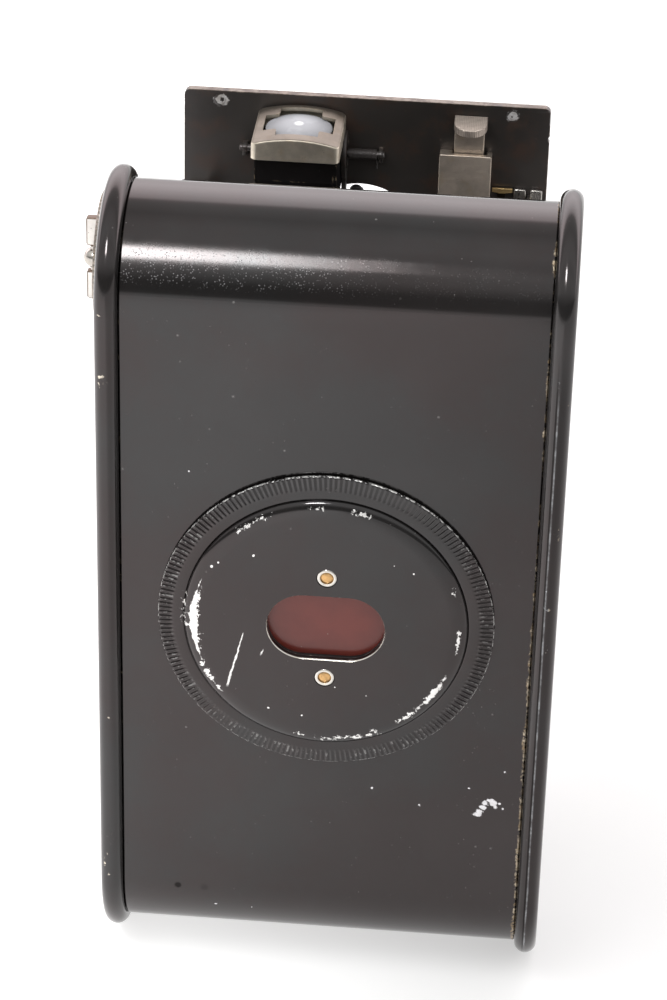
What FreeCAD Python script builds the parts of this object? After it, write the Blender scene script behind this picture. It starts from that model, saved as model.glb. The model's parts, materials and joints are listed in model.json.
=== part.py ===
import FreeCAD, Part
import math, os

# Small strut-folding roll-film camera in pressed, enamelled metal, standing open.
# Frame, millimetres: origin at the centre of the raised face of the round back disc,
# +Y along the optical axis towards the lens, +X to the right seen from the back, +Z up.
# A span is a (low, high) pair of limits along one axis.

V = FreeCAD.Vector
os.makedirs("parts", exist_ok=True)

# ---- driving dimensions ----
SHELL_BACK_Y = 1.8
END_R = 12.87                         # end radius of the shell, half its thickness
SHELL_T = 0.8                         # shell sheet
END_Y = SHELL_BACK_Y + END_R          # both end axes
SHELL_FRONT_Y = SHELL_BACK_Y + 2 * END_R
TOP_Z, LOW_Z = 45.73, -46.93          # end axes; the supply spool is on the low one
KEY_Y, KEY_Z = 15.5, 47.2             # winding key and take-up spool axis
SHELL_X = 28.7                        # shell half width
PLATE_IN, PLATE_OUT = 28.8, 30.0      # side plate sheet, X
LIP_OUT_R = END_R - SHELL_T - 0.05    # side plate lip, from the end axes
LIP_IN_R = END_R - SHELL_T - 0.67
CLIP_Z = (-25.0, 25.0)
DISC_R, COLLAR_R = 23.41, 18.0
COLLAR_FIT = 0.1
DISC_T, FLANGE_Y = 0.8, 1.45          # disc sheet, front of the knurled flange
WIN_X, WIN_Z, WIN_W, WIN_H = 0.1, -0.3, 16.3, 10.2
WIN_GLASS = (1.4, 1.9)
RIVET_PITCH = 8.15                    # window rivets, above and below the window centre
RIVETS_Z = (WIN_Z - RIVET_PITCH, WIN_Z + RIVET_PITCH)
RIVET_HEAD_R, RIVET_R = 1.5, 1.0

ARM_L, ARM_W = 68.6, 5.0              # strut between pivots, width
OPEN_REACH, CLOSED_REACH = 38.9, 13.7     # strut along Y, camera open and closed
PIVOT_Y, LOW_PIN_Z = 19.3, -34.5      # rear fixed pivots
FRONT_PIN_Y = PIVOT_Y + OPEN_REACH
HIGH_PIN_Z = LOW_PIN_Z + math.sqrt(ARM_L ** 2 - OPEN_REACH ** 2)
CLOSED_PIN_Z = LOW_PIN_Z + math.sqrt(ARM_L ** 2 - CLOSED_REACH ** 2)
PIN_R, PIN_FIT, SLOT_FIT = 1.0, 0.05, 0.06
# sheet layers on the right side, X, from the outermost inwards
RAIL_X, UP_X, DOWN_X, BRACKET_X = (26.2, 26.9), (25.4, 26.1), (24.5, 25.2), (23.6, 24.3)

GATE_Y = (5.5, 6.3)
ROLLER_Y, ROLLER_Z = 6.6, 39.75
BOARD_Y = BOARD_BACK, BOARD_FRONT = (61.2, 62.4)    # lens board sheet
BOARD_CUT = (60, 64)                  # through the board
HINGE_Y, HINGE_Z, ROD_R = 60.2, 44.0, 0.5           # finder hinge rod
FINDER_X, FINDER_Y = -9.7, 55.0       # axis of the finder's top lens
FINDER_T = 0.6                        # finder sheet
EYE_R, EYE_Z = 1.9, 41.15             # finder front lens
LEVER = (-0.9, 29.5)                  # trip lever pivot, X and Z
LEVER_PIN_R = 0.9
LEG = (0, -46.0)                      # stand leg pivot, X and Z
LEG_PIN_R = 1.2
SHUTTER_R, SHUTTER_FRONT = 21.0, 70.4
WHEEL = WHEEL_X, WHEEL_Z = (0, -11.2)       # stop wheel axis
BLADE = BLADE_X, BLADE_Z = (11.5, 8.0)      # shutter blade pivot
CELL_SEAT_R, LENS_R = 8.2, 7.0

SPOOL_PIN_R, SPOOL_PIN_TIP = 1.52, 21.0
SPOOL_X, SPOOL_FLANGE_R, SPOOL_CORE_R, SPOOL_FLANGE_T = 25.3, 9.6, 3.0, 0.8
BUSH_R = 3.0                          # key bush
KEY_SLOT = 0.62                       # half width of the slot for the key blade

SIDES = ((1, "right"), (-1, "left"))


# ---- spans ----
def around(centre, half):
    return centre - half, centre + half


def widen(span, by=1):
    return span[0] - by, span[1] + by


def mirrored(side, span):
    """The span itself for side +1, its mirror image for side -1."""
    return span if side > 0 else (-span[1], -span[0])


# ---- solids ----
def box(xs, ys, zs):
    return Part.makeBox(xs[1] - xs[0], ys[1] - ys[0], zs[1] - zs[0], V(xs[0], ys[0], zs[0]))


def cyl_x(radius, xs, y, z):
    return Part.makeCylinder(radius, xs[1] - xs[0], V(xs[0], y, z), V(1, 0, 0))


def cyl_y(radius, ys, x, z):
    return Part.makeCylinder(radius, ys[1] - ys[0], V(x, ys[0], z), V(0, 1, 0))


def cyl_z(radius, zs, x, y):
    return Part.makeCylinder(radius, zs[1] - zs[0], V(x, y, zs[0]), V(0, 0, 1))


def stadium(half_x, radius):
    """Solid stadium about the two end axes."""
    x = -half_x
    back_low, back_top = V(x, END_Y - radius, LOW_Z), V(x, END_Y - radius, TOP_Z)
    front_top, front_low = V(x, END_Y + radius, TOP_Z), V(x, END_Y + radius, LOW_Z)
    wire = Part.Wire([
        Part.makeLine(back_low, back_top),
        Part.Arc(back_top, V(x, END_Y, TOP_Z + radius), front_top).toShape(),
        Part.makeLine(front_top, front_low),
        Part.Arc(front_low, V(x, END_Y, LOW_Z - radius), back_low).toShape(),
    ])
    return Part.Face(wire).extrude(V(2 * half_x, 0, 0))


def slab_x(points, xs):
    """Polygon of (y, z) points, extruded along X."""
    corners = [V(xs[0], y, z) for y, z in points]
    return Part.Face(Part.makePolygon(corners + corners[:1])).extrude(V(xs[1] - xs[0], 0, 0))


def slab_y(points, ys):
    """Polygon of (x, z) points, extruded along Y."""
    corners = [V(x, ys[0], z) for x, z in points]
    return Part.Face(Part.makePolygon(corners + corners[:1])).extrude(V(0, ys[1] - ys[0], 0))


def window_oval(margin, ys):
    """Stadium lying along X on the window centre, larger than the window by a margin."""
    radius = (WIN_H + margin) / 2
    half = (WIN_W + margin) / 2 - radius
    middle = box(around(WIN_X, half), ys, around(WIN_Z, radius))
    ends = [cyl_y(radius, ys, x, WIN_Z) for x in around(WIN_X, half)]
    return middle.fuse(ends).removeSplitter()


def rounded_box(xs, ys, zs, radius):
    """Box with its four edges along Y rounded."""
    solid = box(xs, ys, zs)
    edges = []
    for edge in solid.Edges:
        run = edge.Vertexes[0].Point - edge.Vertexes[1].Point
        if abs(run.y) > 1e-6 and abs(run.x) < 1e-6 and abs(run.z) < 1e-6:
            edges.append(edge)
    return solid.makeFillet(radius, edges)


def save(name, solids):
    if not isinstance(solids, (list, tuple)):
        solids = [solids]
    out = [solid for shape in solids for solid in shape.Solids]
    for solid in out:
        assert solid.isValid() and solid.Volume > 0, name
    shape = out[0] if len(out) == 1 else Part.makeCompound(out)
    shape.exportStep("parts/%s.step" % name)


# ---- shell: rolled band open at the sides ----
def body_shell():
    opening_x, opening_z = 27.2, 38.0     # front opening, half sizes
    socket_wall, socket_front = 1.2, 4.4
    hole_r = COLLAR_R + COLLAR_FIT
    shell = stadium(SHELL_X, END_R).cut(stadium(SHELL_X + 1, END_R - SHELL_T))
    front = (SHELL_FRONT_Y - 2.2, SHELL_FRONT_Y + 1)
    shell = shell.cut(box(around(0, opening_x), front, around(0, opening_z)))
    shell = shell.cut(cyl_y(hole_r, (SHELL_BACK_Y - 1, SHELL_BACK_Y + 2), 0, 0))
    socket_y = (SHELL_BACK_Y + SHELL_T - 0.3, socket_front)
    socket = cyl_y(hole_r + socket_wall, socket_y, 0, 0).cut(cyl_y(hole_r, (0, 6), 0, 0))
    return shell.fuse(socket).removeSplitter()


save("body_shell", body_shell())


# ---- side plates with rolled rims and an inner light-trap lip ----
def side_plate(side):
    """Section in X and distance from the end axis, turned round the ends, drawn between."""
    bead_x, bead_path_r, bead_r = 30.35, 13.0, 1.6
    lip_x = 27.0
    bead_in = bead_path_r - math.sqrt(bead_r ** 2 - (bead_x - PLATE_IN) ** 2)
    bead_out = bead_path_r - math.sqrt(bead_r ** 2 - (bead_x - PLATE_OUT) ** 2)
    before_bead = [(PLATE_OUT, bead_out), (PLATE_OUT, 0), (PLATE_IN, 0), (PLATE_IN, LIP_IN_R),
                   (lip_x, LIP_IN_R), (lip_x, LIP_OUT_R), (PLATE_IN, LIP_OUT_R),
                   (PLATE_IN, bead_in)]
    points = [V(x, END_Y + radius, TOP_Z) for x, radius in before_bead]
    # the outline starts on the camera side of the plate, at the end axis
    lines = [Part.makeLine(points[i], points[i + 1]) for i in range(2, 7)]
    crown = V(bead_x, END_Y + bead_path_r + bead_r, TOP_Z)
    bead = Part.Arc(points[7], crown, points[0]).toShape()
    closing = [Part.makeLine(points[0], points[1]), Part.makeLine(points[1], points[2])]
    section = Part.Face(Part.Wire(lines + [bead] + closing))

    centre = V(0, END_Y, (TOP_Z + LOW_Z) / 2)
    top = section.revolve(V(0, END_Y, TOP_Z), V(1, 0, 0), 180)
    plate = top.fuse(section.extrude(V(0, 0, LOW_Z - TOP_Z)))
    plate = plate.fuse(plate.mirror(centre, V(0, 1, 0)))
    plate = plate.fuse(top.mirror(centre, V(0, 0, 1))).removeSplitter()
    return plate if side > 0 else plate.mirror(V(0, 0, 0), V(1, 0, 0))


def left_side_plate():
    through = (-33, -26)
    plate = side_plate(-1).cut(cyl_x(BUSH_R, through, KEY_Y, KEY_Z))
    return plate.cut(cyl_x(SPOOL_PIN_R, through, END_Y, LOW_Z))


def right_side_cover():
    """Plate with a hole for each spool pin and a small lip hole at each clip."""
    hole_r, hole_x = 0.5, 27.9
    plate = side_plate(1)
    for y, z in ((KEY_Y, KEY_Z), (END_Y, LOW_Z)):
        plate = plate.cut(cyl_x(SPOOL_PIN_R, (26, 33), y, z))
    for hole_y in around(END_Y, 10.0):
        for z in CLIP_Z:
            plate = plate.cut(cyl_y(hole_r, around(hole_y, 3), hole_x, z))
    return plate


def cover_spring_clips():
    """Clips riveted inside the cover lip, gripping the shell."""
    half_t, half_z, gap = 0.3, 4, 0.05
    return [box((27.1, PLATE_IN), around(y, half_t), around(z, half_z))
            for y in around(END_Y, LIP_IN_R - half_t - gap) for z in CLIP_Z]


save("left_side_plate", left_side_plate())
save("right_side_cover", right_side_cover())
save("cover_spring_clips", cover_spring_clips())

# spool centre pins, pressed in the side plates
pin_x = (SPOOL_PIN_TIP, PLATE_OUT)
save("cover_spool_pins", [cyl_x(SPOOL_PIN_R, pin_x, KEY_Y, KEY_Z),
                          cyl_x(SPOOL_PIN_R, pin_x, END_Y, LOW_Z)])
save("supply_spool_pin", cyl_x(SPOOL_PIN_R, mirrored(-1, pin_x), END_Y, LOW_Z))


# ---- round back disc and its red window ----
def back_disc():
    face_r, foot_r = 18.7, 19.93      # flat face, foot of the shoulder
    shoulder_y, collar_y, collar_t = 0.9, 4.3, 0.8
    # radius, Y
    profile = [
        (0, 0), (face_r, 0), (face_r + 0.55, 0.12), (face_r + 0.95, 0.42),
        (foot_r, shoulder_y), (DISC_R - 0.25, shoulder_y), (DISC_R, 1.12), (DISC_R, FLANGE_Y),
        (COLLAR_R, FLANGE_Y), (COLLAR_R, collar_y), (COLLAR_R - collar_t, collar_y),
        (COLLAR_R - collar_t, DISC_T), (0, DISC_T), (0, 0),
    ]
    face = Part.Face(Part.makePolygon([V(radius, y, 0) for radius, y in profile]))
    disc = face.revolve(V(0, 0, 0), V(0, 1, 0), 360)
    disc = disc.cut(window_oval(0, (-1, 2)))
    for z in RIVETS_Z:
        disc = disc.cut(cyl_y(RIVET_HEAD_R, (-1, 2), WIN_X, z))
    return disc


def disc_seal():
    ring = cyl_y(DISC_R - 0.5, (FLANGE_Y, SHELL_BACK_Y), 0, 0)
    return ring.cut(cyl_y(COLLAR_R + 0.4, (1, 3), 0, 0))


GLASS_MARGIN = 2


def window_retainer():
    half_x, half_z, corner_r = 12.4, 10.4, 4.0
    plate = rounded_box(around(WIN_X, half_x), (DISC_T, 2.3), around(WIN_Z, half_z), corner_r)
    plate = plate.cut(window_oval(0, (0, 3)))
    plate = plate.cut(window_oval(GLASS_MARGIN, (WIN_GLASS[0], 3)))
    for z in RIVETS_Z:
        plate = plate.cut(cyl_y(RIVET_R, (0, 3), WIN_X, z))
    return plate


def window_rivet(z):
    head = cyl_y(RIVET_HEAD_R, (0, DISC_T), WIN_X, z)
    return head.fuse(cyl_y(RIVET_R, (DISC_T, 2.7), WIN_X, z)).removeSplitter()


save("back_disc", back_disc())
save("disc_seal", disc_seal())
save("window_retainer", window_retainer())
save("red_window", window_oval(GLASS_MARGIN, WIN_GLASS))
save("window_rivets", [window_rivet(z) for z in RIVETS_Z])


# ---- inner frame: film gate with chamber walls, rollers ----
def film_gate():
    half_x, half_z, hole_x, hole_z = 26.9, 38.6, 20.5, 32.5
    wall_x, wall_y, wall_z = 24.3, (6.2, 26.0), (35.9, 36.4)
    ear_x, ear_y, ear_z = (25.7, 26.3), (GATE_Y[0], 8.0), (38.5, 41.0)
    ear_hole_r = 0.42
    gate = box(around(0, half_x), GATE_Y, around(0, half_z))
    gate = gate.cut(box(around(0, hole_x), (5, 7), around(0, hole_z)))
    for end in (-1, 1):
        gate = gate.fuse(box(around(0, wall_x), wall_y, mirrored(end, wall_z)))
        for side in (-1, 1):
            xs = mirrored(side, ear_x)
            gate = gate.fuse(box(xs, ear_y, mirrored(end, ear_z)))
            gate = gate.cut(cyl_x(ear_hole_r, widen(xs), ROLLER_Y, end * ROLLER_Z))
    return gate.removeSplitter()


def film_roller(z):
    roller = cyl_x(1.0, around(0, 23.9), ROLLER_Y, z)
    return roller.fuse(cyl_x(0.35, around(0, 26.2), ROLLER_Y, z)).removeSplitter()


save("film_gate", film_gate())
save("film_roller_top", film_roller(ROLLER_Z))
save("film_roller_bottom", film_roller(-ROLLER_Z))

# ---- cross struts, their rails, brackets and pins ----
# pin places as (y, z), camera open
REAR_LOW, REAR_HIGH = (PIVOT_Y, LOW_PIN_Z), (PIVOT_Y, HIGH_PIN_Z)
FRONT_LOW, FRONT_HIGH = (FRONT_PIN_Y, LOW_PIN_Z), (FRONT_PIN_Y, HIGH_PIN_Z)
CROSSING = ((PIVOT_Y + FRONT_PIN_Y) / 2, (LOW_PIN_Z + HIGH_PIN_Z) / 2)
TIGHT, LOOSE = PIN_R, PIN_R + PIN_FIT


def pin_slot(xs, y):
    """Cutter for the travel of a sliding pin between camera open and closed."""
    radius = PIN_R + SLOT_FIT
    slot = box(xs, around(y, radius), (HIGH_PIN_Z, CLOSED_PIN_Z))
    return slot.fuse([cyl_x(radius, xs, y, HIGH_PIN_Z), cyl_x(radius, xs, y, CLOSED_PIN_Z)])


def strut_rail(side):
    xs = mirrored(side, RAIL_X)
    rail = box(xs, (GATE_Y[1], 22.6), around(0, 38.0))
    rail = rail.cut(cyl_x(PIN_R, widen(xs), *REAR_LOW))
    return rail.cut(pin_slot(widen(xs), PIVOT_Y))


def strut(xs, rear, front, hole_radii):
    """Flat bar with round ends and holes at its rear, crossing and front pins."""
    (y0, z0), (y1, z1) = rear, front
    length = math.hypot(y1 - y0, z1 - z0)
    dy = -(z1 - z0) / length * ARM_W / 2
    dz = (y1 - y0) / length * ARM_W / 2
    bar = slab_x([(y0 + dy, z0 + dz), (y1 + dy, z1 + dz),
                  (y1 - dy, z1 - dz), (y0 - dy, z0 - dz)], xs)
    bar = bar.fuse([cyl_x(ARM_W / 2, xs, *rear), cyl_x(ARM_W / 2, xs, *front)])
    bar = bar.removeSplitter()
    for place, radius in zip((rear, CROSSING, front), hole_radii):
        bar = bar.cut(cyl_x(radius, widen(xs), *place))
    return bar


def strut_bracket(side):
    """Slotted guide of the struts' front ends, fixed behind the lens board."""
    xs, foot_x = mirrored(side, BRACKET_X), mirrored(side, (23.6, 26.4))
    half_z, tab_z, tab_y = 37.8, 39.4, (59.4, BOARD_BACK)
    foot_y, foot_t = (60.4, BOARD_BACK), 1.6
    top_foot_z = 38.0 if side > 0 else 36.2     # lower on the left
    bracket = box(xs, (55.2, BOARD_BACK), around(0, half_z))
    bracket = bracket.fuse(box(xs, tab_y, (half_z, tab_z)))
    bracket = bracket.fuse(box(xs, tab_y, (-tab_z, -half_z)))
    bracket = bracket.fuse(box(foot_x, foot_y, (top_foot_z, top_foot_z + foot_t)))
    bracket = bracket.fuse(box(foot_x, foot_y, (-38.0 - foot_t, -38.0)))
    bracket = bracket.cut(cyl_x(PIN_R, widen(xs), *FRONT_LOW))
    return bracket.cut(pin_slot(widen(xs), FRONT_PIN_Y)).removeSplitter()


def side_pin(side, xs, place):
    return cyl_x(PIN_R, mirrored(side, xs), *place)


for side, name in SIDES:
    save("strut_rail_" + name, strut_rail(side))
    save("strut_up_" + name,
         strut(mirrored(side, UP_X), REAR_LOW, FRONT_HIGH, (LOOSE, TIGHT, TIGHT)))
    save("strut_down_" + name,
         strut(mirrored(side, DOWN_X), REAR_HIGH, FRONT_LOW, (TIGHT, LOOSE, LOOSE)))
    save("strut_up_pins_" + name, [side_pin(side, (24.4, 26.1), CROSSING),
                                   side_pin(side, (23.5, 26.1), FRONT_HIGH)])
    save("strut_down_pin_" + name, side_pin(side, (24.5, 26.95), REAR_HIGH))
    save("strut_bracket_" + name, strut_bracket(side))
save("strut_rear_pins", [side_pin(side, (25.3, 26.9), REAR_LOW) for side, name in SIDES])
save("strut_front_pins", [side_pin(side, (23.6, 25.3), FRONT_LOW) for side, name in SIDES])


# ---- bellows and its frames ----
BELLOWS_Y = (7.2, 60.1)


def frame(outer, inner, ys):
    """Rectangular frame; outer and inner are (half x, half z)."""
    hole = box(around(0, inner[0]), widen(ys), around(0, inner[1]))
    return box(around(0, outer[0]), ys, around(0, outer[1])).cut(hole)


def taper(rear, front, ys):
    """Rectangular loft along Y; rear and front are (half x, half z)."""
    rings = []
    for (x, z), y in zip((rear, front), ys):
        corners = [(-x, -z), (x, -z), (x, z), (-x, z), (-x, -z)]
        rings.append(Part.makePolygon([V(cx, y, cz) for cx, cz in corners]))
    return Part.makeLoft(rings, True, True)


save("bellows_rear_frame", frame((23.0, 34.5), (20.6, 32.6), (GATE_Y[1], BELLOWS_Y[0])))
save("bellows_front_frame", frame((18.5, 23.5), (14.5, 18.5), (BELLOWS_Y[1], BOARD_BACK)))
bellows = taper((22.6, 34.0), (17.6, 22.6), BELLOWS_Y)
save("bellows", bellows.cut(taper((20.8, 32.7), (15.0, 19.0), widen(BELLOWS_Y, 0.1))))

# ---- lens board with bent hinge ears ----
BOARD_RIVET_R = 0.9
BOARD_RIVETS = [(x, z) for z in (50.9, -50.9) for x in (-22.0, 21.0)]


def arc_slot():
    """Cutter for a ring sector about the trip lever pivot."""
    outer_r, inner_r, reach = 9.25, 7.1, 30
    ring = cyl_y(outer_r, BOARD_CUT, *LEVER).cut(cyl_y(inner_r, BOARD_CUT, *LEVER))
    sector = [LEVER]
    for angle in (math.radians(62), math.radians(107)):
        sector.append((LEVER[0] + reach * math.cos(angle), LEVER[1] + reach * math.sin(angle)))
    return ring.common(slab_y(sector, BOARD_CUT))


def lens_board():
    finder_x, finder_z = (-15.9, -3.55), (32.8, 44.8)
    ear_y, ear_z = (59.2, BOARD_BACK + 0.2), (42.8, 44.9)
    board = rounded_box((-27.2, 26.5), BOARD_Y, around(0, 52.4), 1.0)
    board = board.cut(box(finder_x, BOARD_CUT, finder_z))
    board = board.cut(arc_slot())
    board = board.cut(cyl_y(CELL_SEAT_R, BOARD_CUT, 0, 0))
    for xs in ((-18.5, -17.7), (1.6, 2.2)):
        ear = box(xs, ear_y, ear_z).cut(cyl_x(ROD_R, widen(xs), HINGE_Y, HINGE_Z))
        board = board.fuse(ear)
    for place in BOARD_RIVETS:
        board = board.cut(cyl_y(BOARD_RIVET_R, BOARD_CUT, *place))
    board = board.cut(cyl_y(LEG_PIN_R, BOARD_CUT, *LEG))
    board = board.cut(cyl_y(LEVER_PIN_R, BOARD_CUT, *LEVER))
    return board.removeSplitter()


save("lens_board", lens_board())
save("board_rivets",
     [cyl_y(BOARD_RIVET_R, widen(BOARD_Y, 0.15), *place) for place in BOARD_RIVETS])


# ---- finder: cap, lenses, mirror, housing, hinge rod and torsion spring ----
def finder_cap():
    """Cap with an arched roof and a cross-shaped opening for the top lens."""
    roof_r, roof_z, roof_t = 21.6, 51.07, 0.5
    xs, ys, top_z = (-16.1, -3.3), (48.3, 60.8), 52.0

    def vault(radius):
        return cyl_y(radius, (47, 62), FINDER_X, roof_z - roof_r)

    cap = box(xs, ys, (HINGE_Z + 3.6, top_z))
    upright = [edge for edge in cap.Edges
               if edge.BoundBox.XLength < 1e-6 and edge.BoundBox.YLength < 1e-6]
    cap = cap.makeFillet(0.9, upright)
    cut_z = (HINGE_Z, top_z)
    inside = box(widen(xs, -FINDER_T), widen(ys, -FINDER_T), cut_z)
    cap = cap.common(vault(roof_r)).cut(inside.common(vault(roof_r - roof_t)))
    for half_x, half_y in ((5.1, 2.6), (3.1, 4.7)):
        cap = cap.cut(box(around(FINDER_X, half_x), around(FINDER_Y, half_y), cut_z))
    return cap.removeSplitter()


def finder_top_lens():
    rim_r, dome_r, dome_z = 4.85, 8.15, 42.75
    base = cyl_z(rim_r, (48.9, 49.4), FINDER_X, FINDER_Y)
    dome = Part.makeSphere(dome_r, V(FINDER_X, FINDER_Y, dome_z))
    dome = dome.common(cyl_z(rim_r, (49.3, 52.0), FINDER_X, FINDER_Y))
    return base.fuse(dome).removeSplitter()


def finder_housing():
    xs, ys, zs = (-15.75, -3.7), (50.5, 60.8), (39.0, 47.55)
    inner_x = widen(xs, -FINDER_T)
    housing = box(xs, ys, zs)
    housing = housing.cut(box(inner_x, widen(ys, -FINDER_T), (zs[0] + FINDER_T, 48.5)))
    housing = housing.cut(cyl_x(ROD_R + 0.05, (-20, 0), HINGE_Y, HINGE_Z))
    # slot through the front wall along the rod
    housing = housing.cut(box(inner_x, (59.55, 61.2), (HINGE_Z - 0.7, HINGE_Z + 1.0)))
    housing = housing.cut(cyl_y(EYE_R, (58, 62), FINDER_X, EYE_Z))
    return housing.removeSplitter()


def finder_spring():
    pitch, length, coil_r, wire_r, start_x = 0.55, 3.85, 0.74, 0.2, -2.8
    helix = Part.makeHelix(pitch, length, coil_r)
    helix.Placement = FreeCAD.Placement(V(start_x, HINGE_Y, HINGE_Z),
                                        FreeCAD.Rotation(V(0, 1, 0), 90))
    start = helix.Vertexes[0].Point
    tangent = helix.Edges[0].tangentAt(helix.Edges[0].FirstParameter)
    section = Part.Wire(Part.makeCircle(wire_r, start, tangent))
    return Part.Wire(helix.Edges).makePipeShell([section], True, True)


MIRROR = [(58.4, 39.7), (59.0, 39.7), (51.8, 46.9), (51.2, 46.9)]    # y, z
save("finder_cap", finder_cap())
save("finder_top_lens", finder_top_lens())
save("finder_housing", finder_housing())
save("finder_front_lens", cyl_y(EYE_R, (60.0, 60.8), FINDER_X, EYE_Z))
save("finder_mirror", slab_x(MIRROR, (-15.0, -4.4)))
save("finder_hinge_rod", cyl_x(ROD_R, (-18.9, 2.5), HINGE_Y, HINGE_Z))
save("finder_spring", finder_spring())


# ---- release: guide plate, slide with thumb pad, leaf spring, trip lever ----
def release_guide():
    guide = box((10.6, 18.25), (58.9, BOARD_BACK), (33.0, 45.2))
    return guide.cut(box((12.9, 17.4), (59.8, BOARD_BACK), (32, 46))).removeSplitter()


def release_slide():
    front_y = BOARD_BACK - 0.1
    pad_z, pad_r, pad_x, pad_y = (49.1, 50.2), 2.35, 15.15, 59.0
    stem = box((13.0, 17.3), (59.9, front_y), (31.5, 49.4))
    pad = box(around(pad_x, 2.35), (58.6, front_y), pad_z)
    pad = pad.fuse(cyl_z(pad_r, pad_z, pad_x, pad_y))
    pad = pad.cut(box((10, 20), (front_y, 65), (48, 52)))
    return stem.fuse(pad).removeSplitter()


def release_spring():
    ys = (60.5, 61.1)
    foot = box((18.7, 21.4), ys, (38.0, 39.9))
    upright = box((19.4, 20.4), ys, (30.6, 38.1))
    toe = box((15.9, 20.4), ys, (30.6, 31.3))
    return foot.fuse([upright, toe]).removeSplitter()


def trip_lever():
    ys, boss_r = (59.9, 61.0), 2.6
    outline = [     # x, z
        (-2.9, 29.5), (-2.6, 38.7), (-0.5, 38.7), (1.2, 31.3),
        (15.5, 31.3), (15.5, 29.0), (0.6, 27.4),
    ]
    lever = slab_y(outline, ys).fuse(cyl_y(boss_r, ys, *LEVER))
    return lever.cut(cyl_y(LEVER_PIN_R + 0.05, (59, 62), *LEVER)).removeSplitter()


save("release_guide", release_guide())
save("release_slide", release_slide())
save("release_spring", release_spring())
save("trip_lever", trip_lever())
save("trip_lever_pin", cyl_y(LEVER_PIN_R, (59.4, BOARD_FRONT), *LEVER))

# ---- shutter and lens ----
WHEEL_PIN_R, BLADE_PIN_R, PIVOT_FIT = 1.0, 1.2, 0.05


def shutter_case():
    """Cup with a slot low in its rim and the pins of the stop wheel and blade."""
    wall, floor_y, pin_y = 0.8, 63.0, 62.9
    case = cyl_y(SHUTTER_R, (BOARD_FRONT, SHUTTER_FRONT), 0, 0)
    case = case.cut(cyl_y(SHUTTER_R - wall, (floor_y, 71), 0, 0))
    case = case.cut(cyl_y(CELL_SEAT_R, (62, 64), 0, 0))
    case = case.cut(box((-10, 10), (67.8, 69.2), (-24, -16)))
    pins = [cyl_y(WHEEL_PIN_R, (pin_y, SHUTTER_FRONT), *WHEEL),
            cyl_y(BLADE_PIN_R, (pin_y, 66.2), *BLADE)]
    return case.fuse(pins).removeSplitter()


def shutter_cover():
    boss_r, recess_r, hole_r = 9.5, 7.0, 4.2
    face_y = SHUTTER_FRONT + 0.8
    cover = cyl_y(SHUTTER_R, (SHUTTER_FRONT, face_y), 0, 0)
    cover = cover.fuse(cyl_y(boss_r, (face_y - 0.1, 72.6), 0, 0))
    cover = cover.cut(cyl_y(recess_r, (face_y, 74), 0, 0))
    return cover.cut(cyl_y(hole_r, (70, 72), 0, 0)).removeSplitter()


def stop_wheel():
    cut_y, ring_r = (68, 69), 7.0
    wheel = cyl_y(11.4, (68.2, 68.8), *WHEEL)
    wheel = wheel.cut(cyl_y(WHEEL_PIN_R + PIVOT_FIT, cut_y, *WHEEL))
    for i, stop_r in enumerate((3.2, 2.4, 1.7, 1.2, 0.9)):
        angle = math.radians(90 + 72 * i)
        x = WHEEL_X + ring_r * math.cos(angle)
        z = WHEEL_Z + ring_r * math.sin(angle)
        wheel = wheel.cut(cyl_y(stop_r, cut_y, x, z))
    return wheel


def shutter_blade():
    """Disc over the lens axis and pivot boss, joined by a tapered web."""
    ys, web_disc, web_boss = (65.0, 65.5), 3.2, 2.2     # half widths of the web
    length = math.hypot(*BLADE)
    ux, uz = BLADE_X / length, BLADE_Z / length
    blade = cyl_y(5.4, ys, 0, 0).fuse(cyl_y(2.4, ys, *BLADE))
    web = [(-uz * web_disc, ux * web_disc),
           (BLADE_X - uz * web_boss, BLADE_Z + ux * web_boss),
           (BLADE_X + uz * web_boss, BLADE_Z - ux * web_boss),
           (uz * web_disc, -ux * web_disc)]
    blade = blade.fuse(slab_y(web, ys))
    return blade.cut(cyl_y(BLADE_PIN_R + PIVOT_FIT, (64, 67), *BLADE)).removeSplitter()


def lens_cell():
    cell = cyl_y(8.0, (58.0, 63.6), 0, 0).fuse(cyl_y(10.0, (60.2, BOARD_BACK), 0, 0))
    return cell.cut(cyl_y(LENS_R, (57, 65), 0, 0)).removeSplitter()


def meniscus_lens():
    """Convex towards the film, concave in front."""
    rear_y, rear_r, front_y, front_r = 59.2, 26.0, 61.4, 42.0
    rear = Part.makeSphere(rear_r, V(0, rear_y + rear_r, 0))
    front = Part.makeSphere(front_r, V(0, front_y + front_r, 0))
    return cyl_y(LENS_R, (58.9, 61.6), 0, 0).common(rear).cut(front)


save("shutter_case", shutter_case())
save("shutter_cover", shutter_cover())
save("stop_wheel", stop_wheel())
save("shutter_blade", shutter_blade())
save("lens_cell", lens_cell())
save("meniscus_lens", meniscus_lens())
save("lens_retainer", cyl_y(LENS_R, (61.9, 62.7), 0, 0).cut(cyl_y(6.0, (61, 64), 0, 0)))


# ---- winding key and escutcheon ----
def key_escutcheon():
    outer_x, radius, wall = -32.4, 9.5, 0.7
    cup = cyl_x(radius, (outer_x, -PLATE_OUT), KEY_Y, KEY_Z)
    cup = cup.cut(cyl_x(radius - wall, (outer_x + wall, -29), KEY_Y, KEY_Z))
    cup = cup.fuse(cyl_x(BUSH_R, (outer_x, -27.4), KEY_Y, KEY_Z))
    return cup.cut(cyl_x(2.1, (-34, -26), KEY_Y, KEY_Z)).removeSplitter()


def key_cut(xs, half_y):
    return box(xs, around(KEY_Y, half_y), around(KEY_Z, 3))


def key_shaft():
    shaft = cyl_x(2.05, (-33.2, -26.4), KEY_Y, KEY_Z)
    shaft = shaft.fuse(cyl_x(SPOOL_PIN_R, (-26.5, -20.6), KEY_Y, KEY_Z))
    return shaft.cut(key_cut((-33.3, -32.5), KEY_SLOT)).removeSplitter()


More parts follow.
